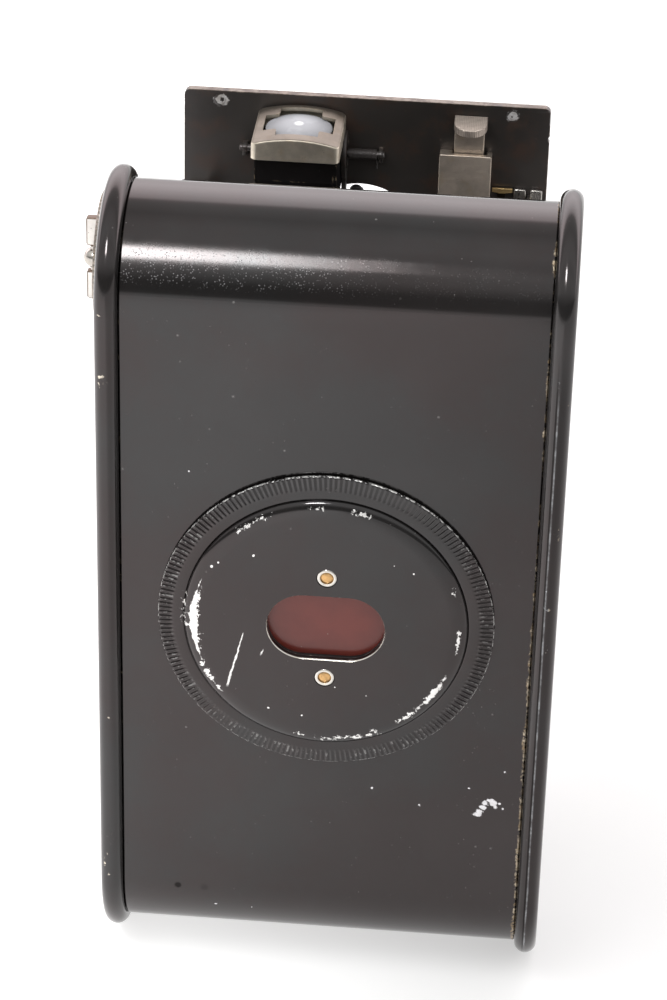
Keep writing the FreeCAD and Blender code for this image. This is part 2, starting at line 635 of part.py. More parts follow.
def key_hub():
    hub = Part.makeSphere(1.35, V(-34.0, KEY_Y, KEY_Z))
    return hub.cut(key_cut((-33.2, -30), 3)).cut(key_cut((-36, -33.1), KEY_SLOT))


def winding_key():
    """Flat blade with the edges of its outer end rounded."""
    xs, half_y, half_z = (-34.9, -32.6), 0.6, 6.15
    key = box(xs, around(KEY_Y, half_y), around(KEY_Z, half_z))
    edges = [edge for edge in key.Edges
             if abs(edge.BoundBox.YLength - 2 * half_y) < 1e-6
             and edge.BoundBox.XMin < xs[0] + 0.01]
    return key.makeFillet(0.5, edges)


save("key_escutcheon", key_escutcheon())
save("key_shaft", key_shaft())
save("key_hub", key_hub())
save("winding_key", winding_key())


# ---- spools ----
def spool(y, z):
    """Core with end flanges, a centre hole in each end and a slot along the middle."""
    body = cyl_x(SPOOL_CORE_R, around(0, SPOOL_X), y, z)
    for x in (-SPOOL_X, SPOOL_X - SPOOL_FLANGE_T):
        body = body.fuse(cyl_x(SPOOL_FLANGE_R, (x, x + SPOOL_FLANGE_T), y, z))
    for xs in ((-26, -19), (19, 26)):
        body = body.cut(cyl_x(1.6, xs, y, z))
    return body.cut(box((-18, 18), around(y, 0.3), around(z, 4))).removeSplitter()


save("takeup_spool", spool(KEY_Y, KEY_Z))
save("supply_spool", spool(END_Y, LOW_Z))


# ---- stand leg on the lens board ----
def stand_leg():
    ys = (BOARD_FRONT + 0.1, BOARD_FRONT + 1.0)
    leg = rounded_box(around(0, 3.6), ys, (-61.53, -42.6), 1.2)
    return leg.cut(cyl_y(LEG_PIN_R + 0.06, (60, 66), *LEG))


def stand_leg_pivot():
    head_y = BOARD_FRONT + 1.1
    pin = cyl_y(LEG_PIN_R, (BOARD_BACK, head_y), *LEG)
    return pin.fuse(cyl_y(2.2, (head_y, head_y + 0.4), *LEG)).removeSplitter()


save("stand_leg", stand_leg())
save("stand_leg_pivot", stand_leg_pivot())
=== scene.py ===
"""A folding roll-film camera, standing upright on its lower end with its bellows drawn out.

+X is the right side, +Z is up. The back, with the round disc, is at y = 0 and the lens looks
along +Y. Shapes are given in millimetres; shader positions and the stage are in metres.
"""
import bpy, bmesh, math, json, random
from mathutils import Vector, Matrix
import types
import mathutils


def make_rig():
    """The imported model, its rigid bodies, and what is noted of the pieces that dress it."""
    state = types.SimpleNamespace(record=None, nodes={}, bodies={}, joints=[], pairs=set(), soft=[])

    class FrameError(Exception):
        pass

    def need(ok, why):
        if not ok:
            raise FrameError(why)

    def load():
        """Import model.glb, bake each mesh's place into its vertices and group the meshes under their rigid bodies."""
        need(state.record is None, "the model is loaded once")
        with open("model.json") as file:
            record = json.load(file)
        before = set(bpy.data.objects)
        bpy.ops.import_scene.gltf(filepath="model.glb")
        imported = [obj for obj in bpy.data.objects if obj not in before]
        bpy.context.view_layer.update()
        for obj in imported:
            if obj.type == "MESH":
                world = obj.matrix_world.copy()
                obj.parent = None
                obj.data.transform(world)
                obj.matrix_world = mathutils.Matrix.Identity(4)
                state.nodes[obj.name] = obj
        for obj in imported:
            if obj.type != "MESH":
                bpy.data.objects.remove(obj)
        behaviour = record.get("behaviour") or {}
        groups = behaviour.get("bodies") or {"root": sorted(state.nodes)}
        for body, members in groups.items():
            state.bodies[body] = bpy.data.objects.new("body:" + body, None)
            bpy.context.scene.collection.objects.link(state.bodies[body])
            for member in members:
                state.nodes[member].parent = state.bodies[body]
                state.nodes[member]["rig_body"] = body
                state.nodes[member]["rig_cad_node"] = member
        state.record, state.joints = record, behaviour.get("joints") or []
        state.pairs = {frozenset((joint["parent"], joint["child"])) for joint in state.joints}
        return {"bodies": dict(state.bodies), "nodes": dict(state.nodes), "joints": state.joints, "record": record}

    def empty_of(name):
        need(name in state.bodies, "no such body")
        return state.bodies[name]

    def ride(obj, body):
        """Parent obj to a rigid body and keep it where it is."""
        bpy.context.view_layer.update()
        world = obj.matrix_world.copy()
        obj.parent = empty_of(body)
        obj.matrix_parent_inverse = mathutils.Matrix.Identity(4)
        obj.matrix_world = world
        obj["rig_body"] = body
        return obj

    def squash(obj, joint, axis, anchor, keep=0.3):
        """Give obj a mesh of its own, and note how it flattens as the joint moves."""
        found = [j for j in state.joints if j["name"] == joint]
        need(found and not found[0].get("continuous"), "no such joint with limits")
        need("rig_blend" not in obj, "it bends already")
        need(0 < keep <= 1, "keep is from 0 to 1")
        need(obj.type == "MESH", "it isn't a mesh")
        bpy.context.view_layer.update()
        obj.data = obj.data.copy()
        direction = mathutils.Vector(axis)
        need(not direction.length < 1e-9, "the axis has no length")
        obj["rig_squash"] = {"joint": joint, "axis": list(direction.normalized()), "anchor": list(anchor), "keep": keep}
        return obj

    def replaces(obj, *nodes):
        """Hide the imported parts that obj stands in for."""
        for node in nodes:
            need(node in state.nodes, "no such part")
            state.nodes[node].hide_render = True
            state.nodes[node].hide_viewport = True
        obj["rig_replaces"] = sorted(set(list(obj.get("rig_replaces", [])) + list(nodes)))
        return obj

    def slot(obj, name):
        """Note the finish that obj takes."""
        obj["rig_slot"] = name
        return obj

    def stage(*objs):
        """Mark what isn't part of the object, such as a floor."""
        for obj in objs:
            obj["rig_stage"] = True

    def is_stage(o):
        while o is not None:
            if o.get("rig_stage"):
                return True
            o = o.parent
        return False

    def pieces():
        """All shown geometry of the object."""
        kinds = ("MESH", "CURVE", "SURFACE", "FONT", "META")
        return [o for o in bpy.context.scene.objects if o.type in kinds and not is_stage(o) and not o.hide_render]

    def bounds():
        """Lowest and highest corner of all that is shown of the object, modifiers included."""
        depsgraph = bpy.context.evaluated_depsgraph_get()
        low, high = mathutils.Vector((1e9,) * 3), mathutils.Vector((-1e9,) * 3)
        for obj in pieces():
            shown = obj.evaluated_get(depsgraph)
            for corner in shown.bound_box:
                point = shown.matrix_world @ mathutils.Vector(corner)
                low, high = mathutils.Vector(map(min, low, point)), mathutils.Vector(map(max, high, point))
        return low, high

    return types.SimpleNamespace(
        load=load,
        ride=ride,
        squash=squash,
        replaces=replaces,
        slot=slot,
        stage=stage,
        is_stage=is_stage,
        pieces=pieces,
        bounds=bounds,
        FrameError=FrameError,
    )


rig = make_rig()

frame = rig.load()
CAD_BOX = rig.bounds()
NODES = frame["nodes"]
MM = 0.001
random.seed(7)
SCENE_OBJECTS = bpy.context.scene.collection

# ---- sizes shared by several pieces, mm ----------------------------------------
BACK_Y = 1.8                     # outer face of the shell's back
END_R, WALL = 12.87, 0.8         # rounded ends of the shell, and its sheet thickness
MID_Y = BACK_Y + END_R           # centre line of the rounded ends
TOP_Z, LOW_Z = 45.73, -46.93     # centres of the two rounded ends
HALF_WIDTH = 28.7
OPEN_X, OPEN_Z = 27.2, 38.0      # half sizes of the front opening
KEY_Y, KEY_Z = 15.5, 47.2        # winding key axis
RIM_R, RIM_BEAD = 13.0, 1.6      # path radius and wire radius of the rolled side rims
WINDOW_X, WINDOW_Z = 0.1, -0.3   # centre of the red window
WINDOW_W, WINDOW_H = 16.3, 10.2
WINDOW_RIVET = 8.15              # rivets above and below the window centre
BOARD_BACK, BOARD_FRONT = 61.2, 62.4
BOARD_RIVETS = [(-22.0, 50.9), (21.0, 50.9), (-22.0, -50.9), (21.0, -50.9)]
HINGE_Y, HINGE_Z = 60.2, 44.0    # finder hinge
FINDER_X, FINDER_Y = -9.7, 55.0  # finder lens centre
TRIP_X, TRIP_Z = -0.9, 29.5      # trip lever pin
LEG_PIVOT_Z = -46.0


# =================================================================== shader graph
class Value:
    """A float output; arithmetic on it adds Math nodes."""

    def __init__(self, graph, socket):
        self.graph, self.socket = graph, socket

    def __add__(self, other):
        return self.graph.math("ADD", self, other)

    def __radd__(self, other):
        return self.graph.math("ADD", other, self)

    def __sub__(self, other):
        return self.graph.math("SUBTRACT", self, other)

    def __rsub__(self, other):
        return self.graph.math("SUBTRACT", other, self)

    def __mul__(self, other):
        return self.graph.math("MULTIPLY", self, other)

    def __rmul__(self, other):
        return self.graph.math("MULTIPLY", other, self)

    def __abs__(self):
        return self.graph.math("ABSOLUTE", self)

    def maximum(self, other):
        return self.graph.math("MAXIMUM", self, other)

    def clamped(self):
        """Clamp the Math node that made this value to 0..1."""
        self.socket.node.use_clamp = True
        return self

    def step(self, off, on, at_off=0.0, at_on=1.0):
        """Smooth mask: at_off where the value is off, at_on where it is on."""
        limits = {"Value": self, "From Min": off, "From Max": on, "To Min": at_off, "To Max": at_on}
        node = self.graph.node("ShaderNodeMapRange", limits, interpolation_type="SMOOTHSTEP")
        return Value(self.graph, node.outputs[0])

    def mix(self, off, on):
        """Colour between off (0) and on (1)."""
        return self.graph.node("ShaderNodeMix", {0: self, 6: off, 7: on}, data_type="RGBA").outputs[2]

    def mix_float(self, off, on):
        """Number between off (0) and on (1)."""
        node = self.graph.node("ShaderNodeMix", {0: self, 2: off, 3: on}, data_type="FLOAT")
        return Value(self.graph, node.outputs[0])


class Graph:
    """Node tree of a material or world."""

    def __init__(self, owner, coordinate="Object", output="ShaderNodeOutputMaterial"):
        self.owner = owner
        owner.use_nodes = True
        self.tree = owner.node_tree
        self.tree.nodes.clear()
        self.output = self.node(output)
        self.coords = self.node("ShaderNodeTexCoord").outputs[coordinate]
        self.geometry_node = None

    def node(self, kind, inputs=(), **settings):
        node = self.tree.nodes.new(kind)
        for key, value in settings.items():
            setattr(node, key, value)
        for key, value in dict(inputs).items():
            self.feed(node.inputs[key], value)
        return node

    def feed(self, socket, value):
        """Link an output to a socket, or store a constant in it."""
        if isinstance(value, Value):
            value = value.socket
        if isinstance(value, bpy.types.NodeSocket):
            self.tree.links.new(value, socket)
        elif socket.type == "RGBA" and len(value) == 3:
            socket.default_value = (*value, 1)
        else:
            socket.default_value = value

    def geometry(self, output):
        if self.geometry_node is None:
            self.geometry_node = self.node("ShaderNodeNewGeometry")
        return self.geometry_node.outputs[output]

    def math(self, operation, *operands):
        node = self.node("ShaderNodeMath", enumerate(operands), operation=operation)
        return Value(self, node.outputs[0])

    def vector(self, operation, *operands):
        """Vector maths with a vector result."""
        node = self.node("ShaderNodeVectorMath", enumerate(operands), operation=operation)
        return node.outputs["Vector"]

    def measure(self, operation, *operands):
        """Vector maths with a number as its result."""
        node = self.node("ShaderNodeVectorMath", enumerate(operands), operation=operation)
        return Value(self, node.outputs["Value"])

    def noise(self, scale, detail=2.0, rough=0.5, offset=None, coords=None):
        coords = coords or self.coords
        if offset:
            coords = self.vector("ADD", coords, offset)
        inputs = {"Vector": coords, "Scale": scale, "Detail": detail, "Roughness": rough}
        return Value(self, self.node("ShaderNodeTexNoise", inputs).outputs[0])

    def cells(self, scale, feature="F1"):
        inputs = {"Vector": self.coords, "Scale": scale}
        node = self.node("ShaderNodeTexVoronoi", inputs, feature=feature)
        return Value(self, node.outputs["Distance"])

    def stretched(self, **inputs):
        return self.node("ShaderNodeMapping", {"Vector": self.coords, **inputs}).outputs[0]

    def xyz(self, vector=None):
        node = self.node("ShaderNodeSeparateXYZ", {0: vector or self.coords})
        return [Value(self, socket) for socket in node.outputs]

    def bump(self, height, strength, distance):
        inputs = {"Strength": strength, "Distance": distance, "Height": height}
        return self.node("ShaderNodeBump", inputs).outputs[0]

    def edge(self, radius):
        """Mask near sharp edges, from how far a bevelled normal turns."""
        bevel = self.node("ShaderNodeBevel", {"Radius": radius}, samples=3)
        turn = self.measure("DOT_PRODUCT", bevel.outputs[0], self.geometry("Normal"))
        return (1.0 - turn).step(off=0.02, on=0.2)

    def principled(self, **inputs):
        """Principled shader; underscores in the names stand for spaces."""
        inputs = {key.replace("_", " "): value for key, value in inputs.items()}
        return self.node("ShaderNodeBsdfPrincipled", inputs).outputs[0]

    def finish(self, shader):
        self.feed(self.output.inputs[0], shader)
        return self.owner


def new_graph(name):
    return Graph(bpy.data.materials.new(name))


def shade(colour, factor, limit=1.0):
    return tuple(min(limit, c * factor) for c in colour)


# =================================================================== materials
def chip(graph, warp, x, y, z, radius, soft=0.25, stretch_x=1.0, stretch_z=1.0):
    """A chip around a point, in mm, with its outline broken up by warp."""
    place = graph.vector("SUBTRACT", graph.coords, (x * MM, y * MM, z * MM))
    place = graph.vector("MULTIPLY", place, (1 / stretch_x, 1.0, 1 / stretch_z))
    distance = graph.measure("LENGTH", place) + warp * (radius * 1.1 * MM)
    return distance.step(off=radius * (1 + soft) * MM, on=radius * (1 - soft) * MM)


def enamel(name, base=(0.0075, 0.0068, 0.0066), rough=0.07, chips=(), wear=None,
           edge_wear=0.0, metal=(0.62, 0.58, 0.52), metallic=0.85, dust=0.5,
           fleck=(0.34, 0.33, 0.32), peel=0.5, smear=0.5, mottle=0.0, level=0.56,
           level_map=None, dull=(), scuff_and_glints=None):
    """Black enamel.

    chips, wear and edge_wear lay bare the metal, a colour or a function of the graph; on the right rim the wear
    function also paints a highlight line.
    dust sets the flecks, peel the surface relief, smear the uneven gloss, mottle the brown
    patches. level is the specular level, scaled by level_map and lowered in the dull spots.
    """
    graph = new_graph(name)
    big = graph.noise(55, detail=3, rough=0.55)
    middle = graph.noise(420, detail=3, rough=0.6)
    fine = graph.noise(2600)

    # small and large flecks of dust, gathered where a coarse noise lets them
    small = graph.cells(900).step(off=0.10, on=0.045) * graph.noise(160).step(off=0.50, on=0.68)
    gather = graph.noise(90, offset=(3.1, 1.7, 0.4)).step(off=0.52, on=0.62)
    large = graph.cells(330).step(off=0.085, on=0.03) * gather
    specks = small.maximum(large) * dust

    masks, warp = [], None
    if chips:
        warp = (graph.noise(1500, detail=4, rough=0.65) - 0.5) * 2.6
        masks += [chip(graph, warp, *row) for row in chips]
    # on the right rim the wear function also lays a painted highlight line
    if wear:
        masks += wear(graph, warp)
    if edge_wear:
        rubbed = graph.edge(radius=0.00035)
        patches = graph.noise(700, detail=4, rough=0.7)
        reach = 0.25 * edge_wear
        masks.append(rubbed * patches.step(off=0.62 - reach, on=0.70 - reach))
    worn_and_painted_light = None
    for mask in masks:
        worn_and_painted_light = worn_and_painted_light.maximum(mask) if worn_and_painted_light else mask

    colour = big.step(off=0.35, on=0.75).mix(base, tuple(c * 1.5 + 0.0012 for c in base))
    colour = (specks * 0.55).clamped().mix(colour, fleck)
    if mottle:
        patches = graph.noise(210, detail=5, rough=0.7).step(off=0.47, on=0.66)
        colour = (patches * mottle).mix(colour, (0.044, 0.027, 0.020))
    if scuff_and_glints:
        scuff_and_glint_dots, scuff_haze = scuff_and_glints(graph)
        # the scuff dots are painted light grey as glints of the highlight on the top band
        colour = (scuff_and_glint_dots * 0.75).mix(colour, (0.26, 0.255, 0.26))
    # bare metal where worn, and on the right rim the painted highlight line
    if worn_and_painted_light:
        if callable(metal):
            bare = metal(graph)
        else:
            bare = middle.step(off=0.35, on=0.65).mix(metal, shade(metal, 1.25))
        colour = worn_and_painted_light.mix(colour, bare)

    # hairline scratches: noise drawn out along one direction
    drawn = graph.stretched(Rotation=(0.0, 0.5, 0.2), Scale=(1.0, 1.0, 0.035))
    hair = graph.noise(3200, detail=1, rough=0.3, coords=drawn).step(off=0.70, on=0.76)
    hair = hair * graph.noise(70, detail=1, offset=(0.7, 0.2, 1.9)).step(off=0.5, on=0.65)

    gloss = rough + big.step(off=0.4, on=0.8) * (0.06 * smear)
    gloss = gloss + middle.step(off=0.5, on=0.8) * (0.05 * smear)
    gloss = gloss + specks * 0.35
    gloss = gloss + hair * (0.18 * smear)
    if scuff_and_glints:
        gloss = scuff_haze.mix_float(gloss, 0.21)
        gloss = scuff_and_glint_dots.mix_float(gloss, 0.42)
    if worn_and_painted_light:
        gloss = worn_and_painted_light.mix_float(gloss, 0.32 + middle * 0.25)

    height = graph.noise(240) * 0.55 + fine * 0.05
    height = height + specks * 0.35
    height = height - hair * 0.08

    # reflections drift from neutral to a warm tint
    tone = graph.noise(26, detail=3, rough=0.55, offset=(0.013, 0.4, 0.021))
    grain = (graph.noise(650, detail=3, rough=0.6) - 0.5) * 1.1
    tone = (tone.step(off=0.36, on=0.60) + grain).clamped()
    if level_map:
        level = level_map(graph) * level
    for x, y, z, radius, loss in dull:
        distance = graph.measure("DISTANCE", graph.coords, (x * MM, y * MM, z * MM))
        level = level * distance.step(off=radius * 0.45 * MM, on=radius * 1.15 * MM,
                                      at_off=1.0 - loss, at_on=1.0)
    return graph.finish(graph.principled(
        Base_Color=colour, Specular_Tint=tone.mix((1.0, 0.985, 0.99), (1.02, 0.89, 0.885)),
        Metallic=worn_and_painted_light * metallic if worn_and_painted_light else 0.0, Roughness=gloss,
        Normal=graph.bump(height, strength=0.28 * peel, distance=0.00006),
        Specular_IOR_Level=level, IOR=1.52))


def nickel(name, base=(0.56, 0.50, 0.43), rough=0.33, brass_amount=0.35, grain_scale=(1, 1, 1),
           pits_and_corner_shade=0.5, edge_tint=(0.74, 0.62, 0.42), edge_amount=0.75, edge_radius=0.00022,
           top_shade=0.0, lines=None):
    """Worn nickel plate with brass showing through, pits, and painted shade in its corners.

    top_shade paints shade on faces that look up; lines is a function giving a mask of painted dark outlines.
    """
    graph = new_graph(name)
    grain = graph.noise(2600, detail=3, rough=0.6, coords=graph.stretched(Scale=grain_scale))
    pits = graph.cells(1700).step(off=0.16, on=0.05) * graph.noise(500).step(off=0.45, on=0.65)
    # strongly tinted edges are tinted all along, weaker ones in patches; on the key the dark tint is a painted dark
    # reflection
    edge_patches = graph.noise(900, detail=4, rough=0.7).step(
        off=0.42, on=0.6, at_off=1.0 if edge_amount > 0.8 else 0.0)
    worn_and_painted_light = graph.edge(edge_radius) * edge_patches

    big = graph.noise(260, detail=4, rough=0.6)
    colour = big.step(off=0.35, on=0.7).mix(base, shade(base, 0.72))
    brassy = graph.noise(420, detail=3, rough=0.6, offset=(2, 5, 1)).step(off=0.5, on=0.75)
    colour = (brassy * brass_amount).clamped().mix(colour, (0.48, 0.36, 0.20))
    # edge tint: brass where worn on most parts, on the key a painted dark reflection of its rounded edges
    colour = (worn_and_painted_light * edge_amount).mix(colour, edge_tint)
    colour = (pits * pits_and_corner_shade).mix(colour, (0.07, 0.055, 0.045))
    # painted shade: darker where ambient occlusion finds corners and recesses
    node = graph.node("ShaderNodeAmbientOcclusion", {"Distance": 0.0009}, samples=3)
    corners = Value(graph, node.outputs["AO"]).step(off=0.85, on=0.35)
    colour = (corners * pits_and_corner_shade).mix(colour, (0.05, 0.04, 0.032))
    # painted shade on faces that look up
    if top_shade:
        upward = graph.xyz(graph.geometry("Normal"))[2].step(off=0.55, on=0.85)
        colour = (upward * top_shade).mix(colour, (0.10, 0.082, 0.070))
    # painted dark reflections along outlines
    if lines:
        colour = (lines(graph) * 0.93).mix(colour, (0.10, 0.065, 0.045))
    return graph.finish(graph.principled(
        Base_Color=colour, Metallic=1.0 - pits * 0.6,
        Roughness=(rough + (grain - 0.5) * 0.22) + pits * 0.3,
        Normal=graph.bump(grain * 0.5 + pits * -0.8, strength=0.35, distance=0.00003)))


def knurled(name, base=(0.40, 0.345, 0.30), pitch=0.00052):
    """Dull nickel with a fine crossed knurl."""
    graph = new_graph(name)
    x, y, z = graph.xyz()
    wave = 2 * math.pi / pitch
    knurl = graph.math("SINE", (x + y) * wave) * graph.math("SINE", (x - y) * wave)
    grain = graph.noise(1500, detail=4, rough=0.65)
    crests = (knurl + grain * 0.8).step(off=0.2, on=1.2)
    return graph.finish(graph.principled(
        Base_Color=crests.mix(base, shade(base, 1.3)), Metallic=0.9,
        Roughness=0.36 + grain * 0.25,
        Normal=graph.bump(knurl + grain, strength=0.6, distance=0.00004)))


def leather(name, base=(0.013, 0.011, 0.010)):
    """Black leather, creased, and rubbed brown along its folds."""
    graph = new_graph(name)
    crease = graph.cells(1500, feature="DISTANCE_TO_EDGE").step(off=0.0, on=0.09)
    fibre = graph.noise(3800, detail=3, rough=0.6)
    folds = Value(graph, graph.geometry("Pointiness")).step(off=0.515, on=0.56)
    rubbed = folds * graph.noise(380, detail=4, rough=0.7).step(off=0.45, on=0.62)
    big = graph.noise(150, detail=4, rough=0.6)
    colour = big.step(off=0.35, on=0.7).mix(base, shade(base, 1.9))
    colour = (rubbed * 0.7).mix(colour, (0.085, 0.062, 0.045))
    colour = crease.step(off=0.5, on=0.0).mix(colour, (0.004, 0.0035, 0.003))
    return graph.finish(graph.principled(
        Base_Color=colour, Roughness=0.48 + fibre * 0.25,
        Normal=graph.bump(crease + fibre * 0.35, strength=0.5, distance=0.00006),
        Sheen_Weight=0.15, Sheen_Roughness=0.5))


def felt(name):
    graph = new_graph(name)
    fibre = graph.noise(6000, detail=3, rough=0.7)
    tufts = graph.noise(900, detail=3, rough=0.6)
    return graph.finish(graph.principled(
        Base_Color=fibre.mix((0.006, 0.006, 0.006), (0.03, 0.028, 0.027)),
        Roughness=0.85 + tufts * 0.1,
        Normal=graph.bump(fibre + tufts, strength=0.6, distance=0.00008), Sheen_Weight=0.3))


def glass(name, tint=(0.95, 0.97, 0.96), rough=0.02, haze_and_reflection=0.08, milk_and_reflection=(0.62, 0.66, 0.70),
          highlight_spot=None):
    """Glass under a milky layer: hazing on the camera lenses, and on the finder lens a painted reflection of the bright
    room; highlight_spot is the centre, in mm, of a painted highlight in that layer, with painted shade towards the rim.
    """
    graph = new_graph(name)
    smudge = graph.noise(300, detail=3, rough=0.6).step(off=0.45, on=0.75)
    dust = graph.cells(1600).step(off=0.09, on=0.03) * 0.5
    clear = graph.principled(
        Base_Color=tint, Roughness=rough + (smudge * (haze_and_reflection * 0.5) + dust * 0.3),
        Transmission_Weight=1.0, IOR=1.5,
        Normal=graph.bump(graph.noise(500), strength=0.05, distance=0.00005))
    veil_and_reflection = milk_and_reflection
    # painted highlight at the spot, fading into the painted reflection and to painted shade towards the rim
    if highlight_spot:
        distance = graph.measure("DISTANCE", graph.coords, tuple(c * MM for c in highlight_spot))
        painted_highlight = distance.step(off=0.0002, on=0.0009)
        painted_highlight = painted_highlight.mix((0.95, 0.95, 0.96), shade(milk_and_reflection, 1.12, limit=0.9))
        veil_and_reflection = distance.step(off=0.0010, on=0.0052).mix(painted_highlight, shade(milk_and_reflection, 0.62))
    milky_and_reflection = graph.node("ShaderNodeBsdfDiffuse", {"Color": veil_and_reflection}).outputs[0]
    amount = (smudge * (haze_and_reflection * 0.4) + (dust + haze_and_reflection)).clamped()
    return graph.finish(graph.node("ShaderNodeMixShader", {0: amount, 1: clear, 2: milky_and_reflection}).outputs[0])


def red_celluloid(name):
    graph = new_graph(name)
    big = graph.noise(200, detail=3, rough=0.6)
    specks = graph.cells(650).step(off=0.06, on=0.025) * graph.noise(210).step(off=0.48, on=0.6)
    colour = big.step(off=0.3, on=0.8).mix((0.150, 0.026, 0.018), (0.118, 0.021, 0.015))
    return graph.finish(graph.principled(
        Base_Color=(specks * 0.6).mix(colour, (0.5, 0.42, 0.38)),
        Roughness=0.16 + graph.noise(500, detail=3, rough=0.6) * 0.12,
        Normal=graph.bump(graph.noise(260), strength=0.1, distance=0.00005),
        Specular_IOR_Level=0.5))


def mirror(name):
    """Silvering with tarnished spots."""
    graph = new_graph(name)
    spots = graph.noise(700, detail=4, rough=0.7).step(off=0.62, on=0.75)
    return graph.finish(graph.principled(
        Base_Color=spots.mix((0.86, 0.86, 0.84), (0.35, 0.30, 0.24)), Metallic=1.0,
        Roughness=0.05 + spots * 0.3,
        Normal=graph.bump(graph.noise(900), strength=0.03, distance=0.00003)))


def brass(name, base=(0.60, 0.43, 0.20), rough=0.34, dark_below=None):
    """Tarnished brass, dark below the height range dark_below (bright, dark), in metres."""
    graph = new_graph(name)
    tarnish = graph.noise(380, detail=4, rough=0.65).step(off=0.42, on=0.7)
    grain = graph.noise(3000)
    colour = tarnish.mix(base, (0.26, 0.17, 0.09))
    if dark_below:
        bright, dark = dark_below
        colour = graph.xyz()[2].step(off=bright, on=dark).mix(colour, (0.022, 0.017, 0.012))
    return graph.finish(graph.principled(
        Base_Color=colour, Metallic=1.0, Roughness=rough + (grain + tarnish) * 0.12,
        Normal=graph.bump(grain, strength=0.25, distance=0.00003)))


# ---- wear and painted light laid out on the pieces; positions inside the functions are in metres -----
# chips: x, y, z, radius, then softness and stretch along x and z where they differ, mm
BACK_CHIPS = [
    (22.35, 1.8, -31.35, 0.42, 0.2, 1.3, 0.8), (22.75, 1.8, -30.75, 0.40),
    (23.15, 1.8, -30.0, 0.42), (23.45, 1.8, -29.2, 0.46, 0.2, 0.9, 1.1),
    (24.0, 1.8, -28.65, 0.40, 0.2, 1.4, 0.8), (24.55, 1.8, -29.1, 0.42),
    (24.85, 1.8, -29.75, 0.30), (25.5, 1.8, -29.2, 0.16), (26.0, 1.8, -30.0, 0.14),
    (21.0, 1.8, -26.8, 0.17), (14.0, 1.8, -30.3, 0.24), (7.2, 1.8, -27.9, 0.16),
    (26.0, 1.8, -23.6, 0.17), (-15.2, 2.4, -51.1, 0.20), (-13.6, 2.5, -51.7, 0.15),
    (-9.9, 2.5, -51.3, 0.12), (-4.0, 2.1, 31.0, 0.12), (-19.2, 1.8, 22.5, 0.12),
]
DISC_CHIPS = [
    (-10.05, 0, 10.8, 0.17), (-7.7, 0, -14.1, 0.15), (-2.9, 0, -15.0, 0.13),
    (12.0, 0, 9.5, 0.13), (6.0, 0.0, -11.0, 0.08), (9.3, 0, 10.6, 0.07), (1.6, 0, -9.9, 0.10),
    (-15.8, 0, 8.6, 0.2), (-14.9, 0, 9.3, 0.13), (13.7, 0, -14.0, 0.16),
]
LEFT_CHIPS = [
    (-29.3, 1.2, -34.5, 0.15), (-30.6, 0.5, -47.5, 0.13), (-30.6, 1.5, 41.5, 0.16),
    (-29.3, 1.1, 40.8, 0.15), (-29.5, 1.0, 22.3, 0.15),
]
RIGHT_CHIPS = [
    (31.4, 0.9, 37.0, 0.28), (30.2, 0.2, 8.0, 0.14), (31.7, 1.4, -33.0, 0.22),
    (30.9, 1.6, -58.0, 0.3),
]
# crescents on the disc: start and end angle, end fade, degrees; radius, half width, mm; raggedness
DISC_CRESCENTS = [
    (156, 206, 24, 18.38, 0.62, 0.75), (200, 222, 14, 18.6, 0.24, 3.0),
    (160, 200, 20, 18.0, 0.10, 3.2), (-46, -20, 13, 18.35, 0.46, 1.6),
    (-57, -43, 9, 18.4, 0.20, 3.2), (-12, 4, 8, 18.55, 0.09, 2.2),
    (16, 24, 5, 18.9, 0.10, 2.4), (-104, -97, 4, 18.6, 0.26, 1.6),
    (-95, -62, 12, 18.7, 0.0, 3.2), (91, 99, 5, 18.8, 0.09, 2.4),
    (71, 81, 5, 18.8, 0.13, 2.4), (112, 134, 9, 18.9, 0.03, 3.0),
    (168, 186, 8, 19.75, 0.06, 3.0),
]
# scratches on the disc: x and z of the start, x and z of the end, width, mm
DISC_SCRATCHES = [(-11.3, -1.7, -13.6, -11.1, 0.13), (-8.5, -4.2, -8.95, -5.6, 0.08)]
# bare rings on the board rivets: centre x and z, ring radius, half width, mm
RIVET_RINGS = [
    (-21.55, 50.95, 0.62, 0.26), (20.95, 50.85, 0.42, 0.3),
    (-22.0, -50.9, 0.6, 0.2), (21.0, -50.9, 0.6, 0.2),
]
HIGHLIGHT_LINE_X = 0.03022             # painted highlight line down the right rim


def shell_wear(graph, warp):
    """Bare metal along the side edges of the shell, strongest on the right."""
    x, y, z = graph.xyz()
    ragged = graph.noise(620, detail=5, rough=0.75)
    broad = graph.noise(95, detail=3, rough=0.6)
    low = z.step(off=0.012, on=-0.018, at_off=-0.00016, at_on=0.00020)
    right = x + (ragged - 0.5) * 0.0014
    right = right + ((broad - 0.5) * 0.0016 + low)
    patches = graph.noise(1500, detail=4, rough=0.75).step(off=0.41, on=0.53)
    left = x * -1.0 + (ragged - 0.5) * 0.0009
    return [right.step(off=0.02838, on=0.02858) * patches,
            left.step(off=0.02864, on=0.02882) * broad.step(off=0.5, on=0.6)]


def shell_metal(graph):
    """Tinned white where the face is chipped, brassy along the rubbed side edges."""
    x, y, z = graph.xyz()
    grain = graph.noise(900, detail=3, rough=0.7)
    gold = grain.step(off=0.35, on=0.65).mix((0.24, 0.17, 0.095), (0.56, 0.48, 0.36))
    white = grain.step(off=0.35, on=0.65).mix((0.74, 0.73, 0.74), (0.84, 0.83, 0.85))
    return abs(x).step(off=0.0268, on=0.0274).mix(white, gold)


